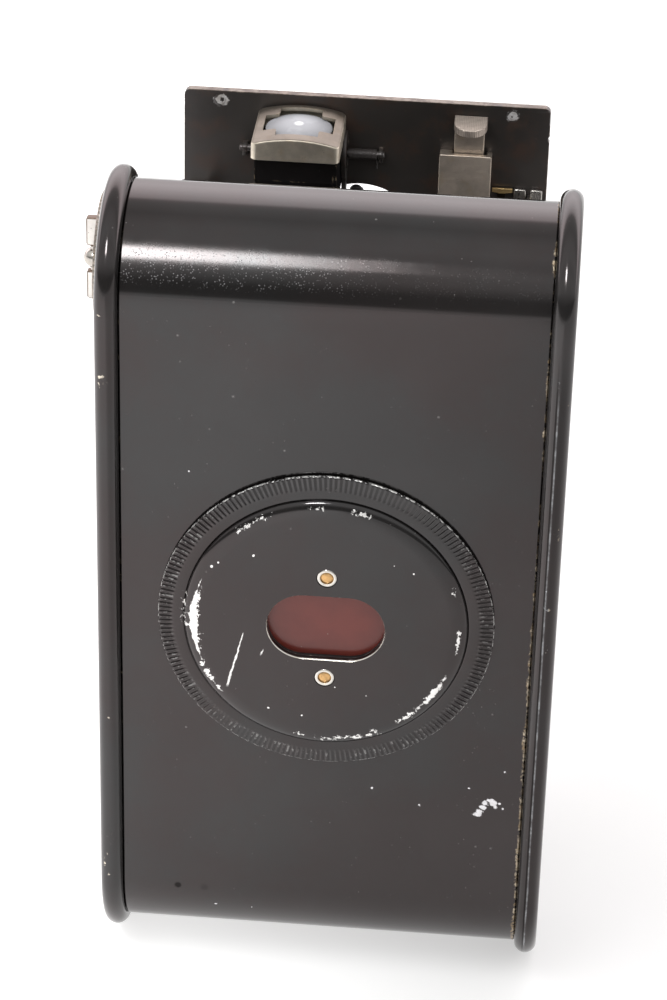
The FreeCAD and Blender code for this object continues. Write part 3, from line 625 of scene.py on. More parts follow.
def top_scuff_and_glints(graph):
    """Pin-prick dots over a dulled band on the upper rounded end, mostly on its left half; the dots roughen the enamel
    and are also painted light grey as glints of the highlight on the band.
    """
    x, y, z = graph.xyz()
    side = x.step(off=0.012, on=-0.014, at_off=0.10) * y.step(off=0.012, on=0.010)
    rise = z + (graph.noise(180, detail=3, rough=0.6) - 0.5) * 0.0022
    band = rise.step(off=0.0497, on=0.0514) * rise.step(off=0.0549, on=0.0536)
    dots = graph.cells(3000).step(off=0.36, on=0.16)
    patches = graph.noise(700, detail=3, rough=0.7).step(off=0.40, on=0.60)
    wide = rise.step(off=0.0500, on=0.0520) * rise.step(off=0.0560, on=0.0545)
    return (band * dots) * (patches * side), wide * (side * 0.75)


def disc_wear(graph, warp):
    """Rubbed crescents on the disc's shoulder, its rubbed rim and a few scratches."""
    x, y, z = graph.xyz()
    radius = graph.math("SQRT", x * x + z * z)
    angle = graph.math("ARCTAN2", z, x) * 57.29578
    ragged = graph.noise(1100, detail=4, rough=0.75) - 0.5

    def crescent(start, end, fade, centre_r, half_width, rag):
        middle, half = (start + end) / 2, (end - start) / 2
        # angle from the middle, wrapped to -180..180
        turn = graph.math("MODULO", (angle - middle) + 1260.0, 360.0) - 180.0
        taper = abs(turn).step(off=half, on=half - fade)
        away = abs(radius - centre_r * MM) + ragged * (1.5 * rag * MM)
        inside = taper * (half_width * MM) - away
        return inside.step(off=0.0, on=0.00015) * taper.step(off=0.02, on=0.12)

    def scratch(x0, z0, x1, z1, width):
        length = math.hypot(x1 - x0, z1 - z0)
        ux, uz = (x1 - x0) / length, (z1 - z0) / length
        px, pz = x - x0 * MM, z - z0 * MM
        along = px * ux + pz * uz
        across = abs((px * -uz + pz * ux) + ragged * 0.0006)
        ends = along.step(off=0.0, on=0.0006) * along.step(off=length * MM, on=(length - 0.8) * MM)
        grow = along.step(off=0.0, on=length * MM, at_off=width * 0.45, at_on=width)
        return ends * (across - grow * MM).step(off=0.00006, on=-0.00002)

    masks = [crescent(*row) for row in DISC_CRESCENTS]
    # rim rubbed bright in dots along its outer edge, and on the crests of some ribs
    dots = graph.noise(1500, detail=3, rough=0.75).step(off=0.46, on=0.56)
    patches = graph.noise(130).step(off=0.30, on=0.52, at_off=0.35)
    masks.append(((radius.step(off=0.02326, on=0.02336) * dots) * patches) * 0.9)
    ribs = radius.step(off=0.0213, on=0.0216) * radius.step(off=0.0234, on=0.0231)
    crests = y.step(off=0.00101, on=0.00095) * ribs
    places = x.step(off=-0.013, on=-0.019).maximum(z.step(off=-0.013, on=-0.019) * 0.8)
    places = places.maximum(x.step(off=0.015, on=0.020) * 0.5)
    rubs = graph.noise(900, detail=3, rough=0.7).step(off=0.52, on=0.62)
    masks.append((crests * rubs) * (places * 0.22))
    return masks + [scratch(*row) for row in DISC_SCRATCHES]


def rim_wear(graph, warp):
    """Rubbed spots along the crest of a rolled rim."""
    x, y, z = graph.xyz()
    patches = graph.noise(210, detail=3, rough=0.7).step(off=0.62, on=0.66)
    spots = graph.noise(900, detail=4, rough=0.8).step(off=0.52, on=0.6)
    out = abs(x)
    crest = out.step(off=0.0298, on=0.0303) * out.step(off=0.0316, on=0.0312)
    return [(patches * spots) * (crest * y.step(off=0.0012, on=0.0004))]


def right_rim_wear_and_highlight(graph, warp):
    """The same, with a long thin painted highlight line down the right rim."""
    x, y, z = graph.xyz()
    ragged = graph.noise(330, detail=4, rough=0.7)
    wobble = (graph.noise(60) - 0.5) * 0.0002
    away = abs((x + wobble) - HIGHLIGHT_LINE_X)
    width = z.step(off=-0.054, on=-0.0575, at_off=0.00010, at_on=0.00030)
    width = width + (ragged - 0.5) * 0.00018
    # painted highlight line along the right rim, widening towards the bottom
    line = (width - away).step(off=-0.00004, on=0.00006)
    line = line * (z.step(off=0.040, on=0.034) * y.step(off=0.0035, on=0.002))
    line = line * ragged.step(off=0.34, on=0.66, at_off=0.12, at_on=0.60)
    return rim_wear(graph, warp) + [line]


def right_rim_level(graph):
    """Duller enamel on the outer half of the right rim, and beside the painted highlight line."""
    x, y, z = graph.xyz()
    outer = x.step(off=0.03034, on=0.03050) * x.step(off=0.03165, on=0.03115)
    hairline = abs(x - 0.02998).step(off=0.00016, on=0.00006)
    return 1.0 - (outer * 0.28).maximum(hairline * 0.7) * z.step(off=0.046, on=0.036)


def right_rim_metal_and_highlight(graph):
    """Grey in the painted highlight line, warmer elsewhere."""
    x, y, z = graph.xyz()
    away = abs(x - HIGHLIGHT_LINE_X).step(off=0.0003, on=0.0006)
    return away.mix((0.40, 0.42, 0.44), (0.60, 0.50, 0.36))


def board_wear(graph, warp):
    """Bare metal along the sheared edges of the lens board and on its rivet heads."""
    x, y, z = graph.xyz()
    ragged = (graph.noise(800, detail=4, rough=0.7) - 0.5) * 0.0005
    top = (z + ragged).step(off=0.05222, on=0.05236)
    right = (x + ragged).step(off=0.02634, on=0.02646)
    left = (ragged - x).step(off=0.02706, on=0.02716)
    patches = graph.noise(260, detail=3, rough=0.6).step(off=0.30, on=0.42)
    masks = [(mask * patches) * amount for mask, amount in ((top, 0.85), (right, 0.7), (left, 0.7))]
    for cx, cz, ring_r, half in RIVET_RINGS:
        place = graph.vector("SUBTRACT", graph.coords, (cx * MM, 0, cz * MM))
        distance = graph.measure("LENGTH", graph.vector("MULTIPLY", place, (1, 0, 1)))
        away = abs((distance + warp * 0.00042) - ring_r * MM)
        ring = away.step(off=(half + 0.06) * MM, on=(half - 0.06) * MM)
        masks.append(ring * y.step(off=0.0618, on=0.0614))
    return masks


def board_metal(graph):
    """Dull brown, but grey at the height of the rivets."""
    x, y, z = graph.xyz()
    grain = graph.noise(700, detail=4, rough=0.7)
    brown = grain.step(off=0.38, on=0.62).mix((0.105, 0.080, 0.062), (0.24, 0.20, 0.165))
    grey = grain.step(off=0.38, on=0.62).mix((0.34, 0.32, 0.30), (0.58, 0.57, 0.57))
    return abs(abs(z) - 0.0509).step(off=0.0013, on=0.0010).mix(brown, grey)


def painted_key_outlines(graph):
    """Painted dark reflections along the outline of the two finger tabs."""
    x, y, z = graph.xyz()
    away = abs(z - KEY_Z * MM)
    outer_edge = x.step(off=-0.03462, on=-0.03474)
    far_edge = away.step(off=0.00588, on=0.00600)
    near_edge = away.step(off=0.00216, on=0.00206) * away.step(off=0.00172, on=0.00182)
    on_tab = away.step(off=0.00165, on=0.00178)
    return (outer_edge * on_tab).maximum(far_edge.maximum(near_edge))


MATERIALS = {
    # dull spots: x, y, z, radius in mm, loss of specular level
    # the shell's scuff dots are also painted glints of the highlight on its top
    "shell": enamel("Enamel_shell", chips=BACK_CHIPS, wear=shell_wear, metal=shell_metal,
                    metallic=0.55, dust=0.6, peel=0.6, scuff_and_glints=top_scuff_and_glints,
                    dull=((-20.7, 1.9, -47.6, 0.62, 0.75), (-16.8, 1.9, -47.7, 0.7, 0.25))),
    "disc": enamel("Enamel_disc", chips=DISC_CHIPS, wear=disc_wear, metal=(0.80, 0.79, 0.77),
                   peel=0.35),
    "left_rim": enamel("Enamel_side_left", rough=0.13, chips=LEFT_CHIPS, wear=rim_wear,
                       metal=(0.66, 0.60, 0.50), peel=1.3),
    # the right rim's wear function also paints a highlight line
    "right_rim": enamel("Enamel_side_right", rough=0.13, chips=RIGHT_CHIPS, wear=right_rim_wear_and_highlight,
                        metal=right_rim_metal_and_highlight, metallic=0.3, level_map=right_rim_level,
                        peel=1.3),
    "board": enamel("Enamel_board", base=(0.0245, 0.0220, 0.0200), rough=0.30, edge_wear=0.35,
                    metal=board_metal, metallic=0.2, mottle=0.75, dust=0.7, peel=1.0, smear=1.3,
                    wear=board_wear, chips=[(26.6, 61.2, 47.6, 0.3)], fleck=(0.12, 0.09, 0.075)),
    "satin": enamel("Enamel_satin", base=(0.010, 0.009, 0.0085), rough=0.22, edge_wear=0.5,
                    metal=(0.50, 0.43, 0.33), dust=0.4, peel=0.8),
    "black": enamel("Blackened_sheet", base=(0.012, 0.011, 0.011), rough=0.42, edge_wear=0.35,
                    metal=(0.25, 0.23, 0.21), dust=0.3, peel=1.0, level=0.4),
    "box": enamel("Blackened_box", base=(0.010, 0.009, 0.009), rough=0.55, edge_wear=0.4,
                  metal=(0.30, 0.23, 0.15), metallic=0.1, dust=0.4, peel=1.0, level=0.0),
    "nickel": nickel("Nickel_dull", base=(0.60, 0.525, 0.45), rough=0.5),
    "nickel_bright": nickel("Nickel_bright", base=(0.72, 0.69, 0.64), rough=0.2,
                            brass_amount=0.2, pits_and_corner_shade=0.35),
    # the key's dark edge tint and outline lines are painted dark reflections of its rounded edges
    "nickel_key": nickel("Nickel_key", base=(0.76, 0.73, 0.69), rough=0.34, brass_amount=0.1,
                         pits_and_corner_shade=0.9, edge_tint=(0.13, 0.085, 0.06), edge_amount=0.95,
                         edge_radius=0.0003, lines=painted_key_outlines),
    # the cap's upward faces carry painted shade
    "nickel_cap": nickel("Nickel_cap", base=(0.66, 0.60, 0.50), rough=0.5, top_shade=0.72),
    "nickel_ball": nickel("Nickel_ball", base=(0.56, 0.53, 0.49), rough=0.20, brass_amount=0.1,
                          pits_and_corner_shade=0.6),
    "nickel_cup": nickel("Nickel_cup", base=(0.30, 0.27, 0.24), rough=0.36, brass_amount=0.2,
                         pits_and_corner_shade=0.9, edge_tint=(0.20, 0.14, 0.10), edge_amount=0.9),
    "nickel_strip": nickel("Nickel_strip", base=(0.55, 0.53, 0.50), rough=0.28,
                           brass_amount=0.15, grain_scale=(1, 1, 0.08)),
    "brass": brass("Brass", dark_below=(0.03888, 0.03868)),
    "knurled": knurled("Nickel_knurled"),
    "brass_core": brass("Brass_core", base=(0.66, 0.40, 0.17), rough=0.3),
    "leather": leather("Bellows_leather"),
    "felt": felt("Felt_black"),
    "rod": enamel("Blackened_rod", base=(0.030, 0.026, 0.024), rough=0.38, dust=0.3, peel=0.8,
                  level=0.8),
    "glass": glass("Lens_glass"),
    # the finder lens's milky layer is a painted reflection of the bright room, with a painted highlight at
    # highlight_spot
    "finder_glass": glass("Finder_glass", tint=(0.94, 0.96, 0.98), haze_and_reflection=0.90,
                          milk_and_reflection=(0.37, 0.375, 0.395), highlight_spot=(-9.7, 54.6, 50.9)),
    "red": red_celluloid("Red_celluloid"),
    "mirror": mirror("Silvered_mirror"),
}


# =================================================================== mesh tools
# A mesh is a pair of vertices, in mm, and faces.
def add_piece(name, mesh, body, material, node, slot, angle=32, weighted=True,
              trim=None, trim_faces=()):
    """Add a mesh as an object that rides a body and replaces a frame node.

    angle is where shading turns sharp; trim_faces wear the trim material.
    """
    verts, faces = mesh
    data = bpy.data.meshes.new(name)
    data.from_pydata([(x * MM, y * MM, z * MM) for x, y, z in verts], [], faces)
    data.materials.append(MATERIALS[material])
    if trim:
        data.materials.append(MATERIALS[trim])
    for index in trim_faces:
        data.polygons[index].material_index = 1
    bm = bmesh.new()
    bm.from_mesh(data)
    bmesh.ops.remove_doubles(bm, verts=bm.verts, dist=1e-7)
    bmesh.ops.recalc_face_normals(bm, faces=bm.faces)
    bm.to_mesh(data)
    bm.free()
    data.validate()
    for polygon in data.polygons:
        polygon.use_smooth = True
    data.set_sharp_from_angle(angle=math.radians(angle))
    data.update()
    piece = bpy.data.objects.new(name, data)
    SCENE_OBJECTS.objects.link(piece)
    if weighted:
        modifier = piece.modifiers.new("wn", "WEIGHTED_NORMAL")
        modifier.keep_sharp = True
        modifier.weight = 80
    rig.slot(piece, slot)
    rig.replaces(piece, node)
    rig.ride(piece, body)
    return piece


def join(*meshes):
    verts, faces = [], []
    for more_verts, more_faces in meshes:
        start = len(verts)
        verts += more_verts
        faces += [[i + start for i in face] for face in more_faces]
    return verts, faces


def bridge(first, second, count):
    """Quads between two closed rings of vertices that start at the given indices."""
    return [[first + k, first + (k + 1) % count, second + (k + 1) % count, second + k]
            for k in range(count)]


def loft(rings, closed=False):
    """Skin over a list of closed rings; closed joins the last to the first."""
    count = len(rings[0])
    verts = [point for ring in rings for point in ring]
    faces = []
    for i in range(len(rings) if closed else len(rings) - 1):
        faces += bridge(i * count, (i + 1) % len(rings) * count, count)
    return verts, faces


def lathe(profile, segments, axis="y", centre=(0, 0, 0), closed=False):
    """Turned solid; profile is (radius, distance along the axis). Ends on the axis close."""
    verts, faces = [], []
    count = len(profile)
    cx, cy, cz = centre
    for k in range(segments):
        angle = 2 * math.pi * k / segments
        cos, sin = math.cos(angle), math.sin(angle)
        for r, t in profile:
            if axis == "y":
                verts.append((cx + r * cos, cy + t, cz + r * sin))
            elif axis == "x":
                verts.append((cx + t, cy + r * cos, cz + r * sin))
            else:
                verts.append((cx + r * cos, cy + r * sin, cz + t))
    for k in range(segments):
        here, there = k * count, (k + 1) % segments * count
        for i in range(count if closed else count - 1):
            j = (i + 1) % count
            i_on_axis, j_on_axis = profile[i][0] < 1e-9, profile[j][0] < 1e-9
            if i_on_axis and j_on_axis:
                continue
            if i_on_axis:
                faces.append([here + i, here + j, there + j])
            elif j_on_axis:
                faces.append([here + i, here + j, there + i])
            else:
                faces.append([here + i, here + j, there + j, there + i])
    return verts, faces


def arc(cx, cy, radius, start, end, steps):
    angles = [math.radians(start + (end - start) * i / steps) for i in range(steps + 1)]
    return [(cx + radius * math.cos(a), cy + radius * math.sin(a)) for a in angles]


def rounded_rect(x0, x1, y0, y1, radius, steps):
    corners = ((x1 - radius, y1 - radius, 0), (x0 + radius, y1 - radius, 90),
               (x0 + radius, y0 + radius, 180), (x1 - radius, y0 + radius, 270))
    return [p for cx, cy, turn in corners for p in arc(cx, cy, radius, turn, turn + 90, steps)]


def circle(x, y, radius, steps):
    angles = [2 * math.pi * i / steps for i in range(steps)]
    return [(x + radius * math.cos(a), y + radius * math.sin(a)) for a in angles]


def oval(width, height, x, y, steps):
    radius, shift = height / 2, width / 2 - height / 2
    return (arc(x + shift, y, radius, -90, 90, steps)
            + arc(x - shift, y, radius, 90, 270, steps))


def bar_outline(start, end, width, steps=14):
    """Bar with round ends between two points."""
    turn = math.degrees(math.atan2(end[1] - start[1], end[0] - start[0]))
    return (arc(*end, width / 2, turn - 90, turn + 90, steps)
            + arc(*start, width / 2, turn + 90, turn + 270, steps))


def plate(loops, near, far, axis, bevel=0.12, rounds=2):
    """Plate with holes and rounded edges, across an axis; the first loop is the outline."""
    curve = bpy.data.curves.new("tmp", "CURVE")
    curve.dimensions = "2D"
    curve.fill_mode = "BOTH"
    half = abs(far - near) / 2
    bevel = min(bevel, half * 0.9)
    curve.extrude = half - bevel
    curve.bevel_depth = bevel
    curve.bevel_resolution = rounds
    curve.offset = -bevel
    for loop in loops:
        spline = curve.splines.new("POLY")
        spline.points.add(len(loop) - 1)
        for point, (x, y) in zip(spline.points, loop):
            point.co = (x, y, 0, 1)
        spline.use_cyclic_u = True
    holder = bpy.data.objects.new("tmp", curve)
    SCENE_OBJECTS.objects.link(holder)
    depsgraph = bpy.context.evaluated_depsgraph_get()
    data = bpy.data.meshes.new_from_object(holder.evaluated_get(depsgraph))
    middle = (near + far) / 2
    place = {"x": lambda a, b, c: (middle + c, a, b),
             "y": lambda a, b, c: (a, middle - c, b),
             "z": lambda a, b, c: (a, b, middle + c)}[axis]
    verts = [place(*vertex.co) for vertex in data.vertices]
    faces = [list(polygon.vertices) for polygon in data.polygons]
    bpy.data.objects.remove(holder)
    bpy.data.meshes.remove(data)
    bpy.data.curves.remove(curve)
    return verts, faces


def block(rect, near, far, axis, bevel=0.12, rounds=2):
    """Plate without holes; rect is two spans, corner radius and corner steps."""
    return plate([rounded_rect(*rect)], near, far, axis, bevel, rounds)


def tube(path, radius, sides):
    """Round wire along a list of points."""
    rings = []
    points = [Vector(p) for p in path]
    previous = None
    for i, point in enumerate(points):
        ahead = (points[min(i + 1, len(points) - 1)] - points[max(i - 1, 0)]).normalized()
        if previous is None:
            across = ahead.orthogonal().normalized()
        else:
            across = (previous - ahead * previous.dot(ahead)).normalized()
        previous = across
        other = ahead.cross(across)
        angles = [2 * math.pi * k / sides for k in range(sides)]
        rings.append([tuple(point + (across * math.cos(a) + other * math.sin(a)) * radius)
                      for a in angles])
    verts, faces = loft(rings)
    faces.append(list(range(sides))[::-1])
    faces.append([(len(points) - 1) * sides + k for k in range(sides)])
    return verts, faces


def fill(loops, level, axis):
    """Flat triangulated face with holes, across y or z at the given level."""
    bm = bmesh.new()
    edges = []
    for loop in loops:
        corners = [bm.verts.new((a, b, 0)) for a, b in loop]
        for i, corner in enumerate(corners):
            edges.append(bm.edges.new((corner, corners[(i + 1) % len(corners)])))
    bmesh.ops.triangle_fill(bm, use_beauty=True, use_dissolve=False, edges=edges)
    bm.verts.index_update()
    if axis == "y":
        verts = [(v.co.x, level, v.co.y) for v in bm.verts]
    else:
        verts = [(v.co.x, v.co.y, level) for v in bm.verts]
    faces = [[v.index for v in face.verts] for face in bm.faces]
    bm.free()
    return verts, faces


def slice_x(mesh, cuts):
    """Cut a mesh along planes of constant x so it can be bent smoothly."""
    verts, faces = mesh
    bm = bmesh.new()
    corners = [bm.verts.new(v) for v in verts]
    for face in faces:
        # the joined parts may hold a face twice; the second one is left out
        try:
            bm.faces.new([corners[i] for i in face])
        except ValueError:
            pass
    bmesh.ops.remove_doubles(bm, verts=bm.verts, dist=1e-4)
    for x in cuts:
        bmesh.ops.bisect_plane(bm, geom=bm.verts[:] + bm.edges[:] + bm.faces[:],
                               plane_co=(x, 0, 0), plane_no=(1, 0, 0), dist=1e-5)
    bm.verts.index_update()
    sliced = [tuple(v.co) for v in bm.verts], [[v.index for v in f.verts] for f in bm.faces]
    bm.free()
    return sliced


# =================================================================== shell and sides
def stations(back_z, front_z, arc_steps=72):
    """Stations round the body's upright oval: direction y and z, and centre z.

    They start at the foot of the back, go up it, over the top and down the front.
    """
    angles = [math.pi * i / arc_steps for i in range(1, arc_steps)]
    way = [(-1, 0, z) for z in (LOW_Z, *back_z, TOP_Z)]
    way += [(-math.cos(a), math.sin(a), TOP_Z) for a in angles]
    way += [(1, 0, z) for z in (TOP_Z, *front_z, LOW_Z)]
    way += [(math.cos(a), -math.sin(a), LOW_Z) for a in angles]
    return way


def sweep(profile, way, side=1):
    """Vertices of a profile of (x, radius) carried round the stations."""
    return [(side * x, MID_Y + r * dy, cz + r * dz) for dy, dz, cz in way for x, r in profile]


def build_shell():
    """Sheet band with a rectangular opening in front and a round one in the back."""
    edge_r = 0.22
    patch = 25.0                                # half size of the flat patch round the disc hole
    hole_r, socket_r, socket_y = 18.1, 19.3, 4.4
    outer, inner = END_R, END_R - WALL

    def corner(side, centre_r, angles):
        return [(side * (HALF_WIDTH - edge_r + edge_r * math.sin(math.radians(a))),
                 centre_r + edge_r * math.cos(math.radians(a))) for a in angles]
    profile = [(-OPEN_X, outer), (-patch, outer), (patch, outer), (OPEN_X, outer)]
    profile += corner(1, outer - edge_r, (0, 22, 45, 68, 90))
    profile += corner(1, inner + edge_r, (90, 135, 180))
    profile += [(OPEN_X, inner), (patch, inner), (-patch, inner), (-OPEN_X, inner)]
    profile += corner(-1, inner + edge_r, (180, 135, 90))
    profile += corner(-1, outer - edge_r, (90, 68, 45, 22, 0))
    count, inside = len(profile), profile.index((OPEN_X, inner))
    way = stations((-44.0, -patch, patch, 43.0), (43.0, OPEN_Z, -OPEN_Z, -44.0))
    # profile strips left open at two stations: (outer strips, inner strips)
    gaps = {way.index((1, 0, OPEN_Z)): (0, 1, 2, inside, inside + 1, inside + 2),
            way.index((-1, 0, -patch)): (1, inside + 1)}
    faces = []
    for k in range(len(way)):
        strips = bridge(k * count, (k + 1) % len(way) * count, count)
        faces += [quad for i, quad in enumerate(strips) if i not in gaps.get(k, ())]
    # walls of the front opening: left, right, top, bottom
    top = way.index((1, 0, OPEN_Z)) * count
    low = top + count
    faces += [[top, top + inside + 3, low + inside + 3, low],
              [top + 3, low + 3, low + inside, top + inside]]
    for start, order in ((top, 1), (low, -1)):
        for i in range(3):
            wall = [start + i, start + i + 1, start + inside + 2 - i, start + inside + 3 - i]
            faces.append(wall[::order])
    # the patch in the back, outside and inside, and the rim of its hole
    square = [(-patch, -patch), (patch, -patch), (patch, patch), (-patch, patch)]
    inner_y = BACK_Y + WALL
    mesh = join((sweep(profile, way), faces),
                fill([square, circle(0, 0, hole_r, 120)], BACK_Y, "y"),
                fill([square, circle(0, 0, socket_r, 120)], inner_y, "y"),
                lathe([(hole_r, BACK_Y), (hole_r, socket_y), (socket_r, socket_y),
                       (socket_r, inner_y)], 120))
    add_piece("shell_band", mesh, "camera_body", "shell", "body_shell", "black_enamel", angle=34)


def build_side(side, name, body, material, node):
    """Side plate with a rolled rim and a flange inside the shell."""
    rim_x = 30.35
    plate_in, plate_out = 28.8, 30.0
    profile = [(plate_out, 4.0), (plate_out, 9.0), (plate_out, 10.9), (plate_out + 0.02, 11.2)]
    # rolled rim, from its inner side over the outside to the seam
    profile += arc(rim_x, RIM_R, RIM_BEAD, -100, 194, 32)
    profile += [(plate_in, 12.6), (plate_in, 12.1), (plate_in - 0.1, 12.02), (27.15, 12.02),
                (27.0, 11.87), (27.0, 11.5), (27.1, 11.4), (plate_in, 11.4), (plate_in, 9.0),
                (plate_in, 4.0)]
    way = stations((-30.0, 0.0, 30.0), (30.0, 0.0, -30.0))
    count, turns = len(profile), len(way)
    faces = []
    for k in range(turns):
        faces += bridge(k * count, (k + 1) % turns * count, count)[:-1]
    faces.append([k * count for k in range(turns)])
    faces.append([k * count + count - 1 for k in range(turns)][::-1])
    add_piece(name, (sweep(profile, way, side), faces), body, material, node, "black_enamel",
              angle=40)


def build_spool_pins(side, name, body, node, places):
    """Spool pins with low domed heads outside; places are (y, z)."""
    head_r, head_x, dome = 2.3, 30.0, 0.62
    angles = [math.radians(a) for a in range(10, 91, 10)]
    profile = [(0.0, head_x + dome)]
    profile += [(head_r * math.sin(a), head_x + dome * math.cos(a)) for a in angles]
    profile += [(head_r, 29.95), (1.5, 29.95), (1.5, 21.3), (1.2, 21.0), (0.0, 21.0)]
    profile = [(r, side * t) for r, t in profile]
    pins = [lathe(profile, 40, "x", (0, y, z)) for y, z in places]
    add_piece(name, join(*pins), body, "satin", node, "nickel")


# =================================================================== back disc
def build_disc_cap():
    """Flat face with the window and two rivet holes, rounded shoulder and inner skirt."""
    segments = 240
    face_r, hole_r, under_r, under_y = 17.3, 1.44, 17.2, 0.8
    window = oval(WINDOW_W, WINDOW_H, WINDOW_X, WINDOW_Z, 40)
    lip = oval(WINDOW_W + 0.06, WINDOW_H + 0.06, WINDOW_X, WINDOW_Z, 40)
    mouth = oval(WINDOW_W + 0.26, WINDOW_H + 0.26, WINDOW_X, WINDOW_Z, 40)
    upper, lower = [circle(WINDOW_X, WINDOW_Z + s * WINDOW_RIVET, hole_r, 40) for s in (1, -1)]
    angles = [math.radians(a) for a in range(6, 91, 6)]
    shoulder = [(face_r, 0.0)]
    shoulder += [(face_r + 2.45 * math.sin(a), 0.93 * (1 - math.cos(a))) for a in angles]
    shoulder += [(face_r + 2.47, 1.4), (face_r + 2.40, 1.45), (18.0, 1.45), (18.0, 4.1),
                 (17.8, 4.3), (17.3, 4.3), (under_r, 4.2), (under_r, under_y)]
    skin = join(fill([circle(0, 0, face_r, segments), mouth, upper, lower], 0.0, "y"),
                lathe(shoulder, segments),
                fill([circle(0, 0, under_r, segments), window, upper, lower], under_y, "y"))

    def wall(near, near_y, far, far_y):
        return loft([[(a, near_y, b) for a, b in near], [(a, far_y, b) for a, b in far]])
    mesh = join(skin, wall(mouth, 0.0, lip, 0.10), wall(lip, 0.10, window, 0.16),
                wall(window, 0.16, window, under_y), wall(lower, 0.0, lower, under_y),
                wall(upper, 0.0, upper, under_y))
    # the two bevelled walls of the window are bright
    first = len(skin[1])
    add_piece("disc_cap", mesh, "disc", "disc", "back_disc", "black_enamel", angle=30,
              trim="nickel_bright", trim_faces=range(first, first + 2 * len(mouth)))


def build_disc_rim():
    """Turned flange whose outer half carries radial ribs."""
    ribs = 200
    wave = [0.0, 0.55, 1.0, 1.0, 0.55, 0.0]     # groove depth across one rib
    # radius, y, depth of the groove
    profile = [
        (19.72, 1.44, 0), (19.74, 1.08, 0), (19.86, 0.98, 0), (20.02, 0.95, 0),
        (20.9, 0.93, 0), (21.15, 0.92, 0), (21.25, 0.92, 0), (21.45, 0.92, 0.09),
        (21.9, 0.92, 0.15), (22.5, 0.93, 0.16), (22.95, 0.95, 0.15), (23.12, 0.96, 0.12),
        (23.24, 0.99, 0.09), (23.35, 1.06, 0.06), (23.40, 1.18, 0.03), (23.41, 1.32, 0),
        (23.36, 1.45, 0),
    ]
    segments = ribs * len(wave)
    rings = []
    for k in range(segments):
        angle, groove = 2 * math.pi * k / segments, wave[k % len(wave)]
        rings.append([(r * math.cos(angle), y + depth * groove, r * math.sin(angle))
                      for r, y, depth in profile])
    add_piece("disc_knurled_rim", loft(rings, closed=True), "disc", "disc", "back_disc",
              "black_enamel", angle=55, weighted=False)


def build_window():
    """Red pane, the two-layer plate behind the disc that holds it, and two rivets."""
    pane = plate([oval(18.2, 12.1, WINDOW_X, WINDOW_Z, 32)], 1.4, 1.9, "y", bevel=0.08)
    add_piece("red_window_pane", pane, "disc", "red", "red_window", "red_film")

    outline = rounded_rect(-12.3, 12.5, -10.7, 10.1, 4.0, 8)
    holes = [circle(WINDOW_X, WINDOW_Z + s * WINDOW_RIVET, 1.0, 24) for s in (1, -1)]
    front = oval(WINDOW_W, WINDOW_H, WINDOW_X, WINDOW_Z, 32)
    seat = oval(18.3, 12.2, WINDOW_X, WINDOW_Z, 32)
    mesh = join(plate([outline, front, *holes], 0.82, 1.38, "y", bevel=0.05),
                plate([outline, seat, *holes], 1.39, 2.3, "y", bevel=0.08))
    add_piece("window_retainer_plate", mesh, "disc", "black", "window_retainer", "blackened")

    # radius, y
    ring = [(0.90, 0.20), (0.91, 0.08), (0.96, 0.02), (1.08, 0.0), (1.24, 0.01), (1.35, 0.06),
            (1.42, 0.16), (1.42, 0.78), (0.95, 0.82), (0.95, 2.45), (1.25, 2.5), (1.2, 2.7),
            (0.6, 2.7), (0.6, 0.6), (0.90, 0.5)]
    core = [(0.0, 0.07), (0.3, 0.08), (0.6, 0.12), (0.82, 0.18), (0.89, 0.26), (0.89, 0.42),
            (0.7, 0.5), (0.0, 0.5)]
    for name, profile, segments, closed, material in (
            ("window_rivet_rings", ring, 48, True, "nickel_bright"),
            ("window_rivet_cores", core, 40, False, "brass_core")):
        pair = [lathe(profile, segments, "y", (WINDOW_X, 0, WINDOW_Z + s * WINDOW_RIVET), closed)
                for s in (-1, 1)]
        add_piece(name, join(*pair), "disc", material, "window_rivets", "nickel", angle=40)


# =================================================================== winding key
def build_key_cup():
    """Shallow cup round the key with a milled edge."""
    segments = 320
    wave, mill_depth = (0.0, 0.7, 1.0, 0.7), 0.13
    # radius, distance to the left
    profile = [
        (2.12, 27.6), (2.12, 32.25), (2.3, 32.38), (3.2, 32.4), (3.5, 32.32), (3.9, 32.2),
        (7.6, 32.1), (8.3, 32.12), (8.7, 32.4), (9.0, 32.68), (9.25, 32.80), (9.42, 32.72),
        (9.5, 32.45), (9.5, 31.2), (9.5, 30.3), (9.42, 30.05), (8.8, 30.05), (8.8, 31.5),
        (3.0, 31.6), (3.0, 27.6),
    ]
    rings = []
    for k in range(segments):
        angle = 2 * math.pi * k / segments
        ring = []
        for r, t in profile:
            if r > 9.3 and t > 30.2:
                r -= mill_depth * wave[k % 4]
            ring.append((-t, KEY_Y + r * math.cos(angle), KEY_Z + r * math.sin(angle)))
        rings.append(ring)
    add_piece("key_escutcheon_cup", loft(rings, closed=True), "camera_body", "nickel_cup",
              "key_escutcheon", "nickel", angle=40, weighted=False)


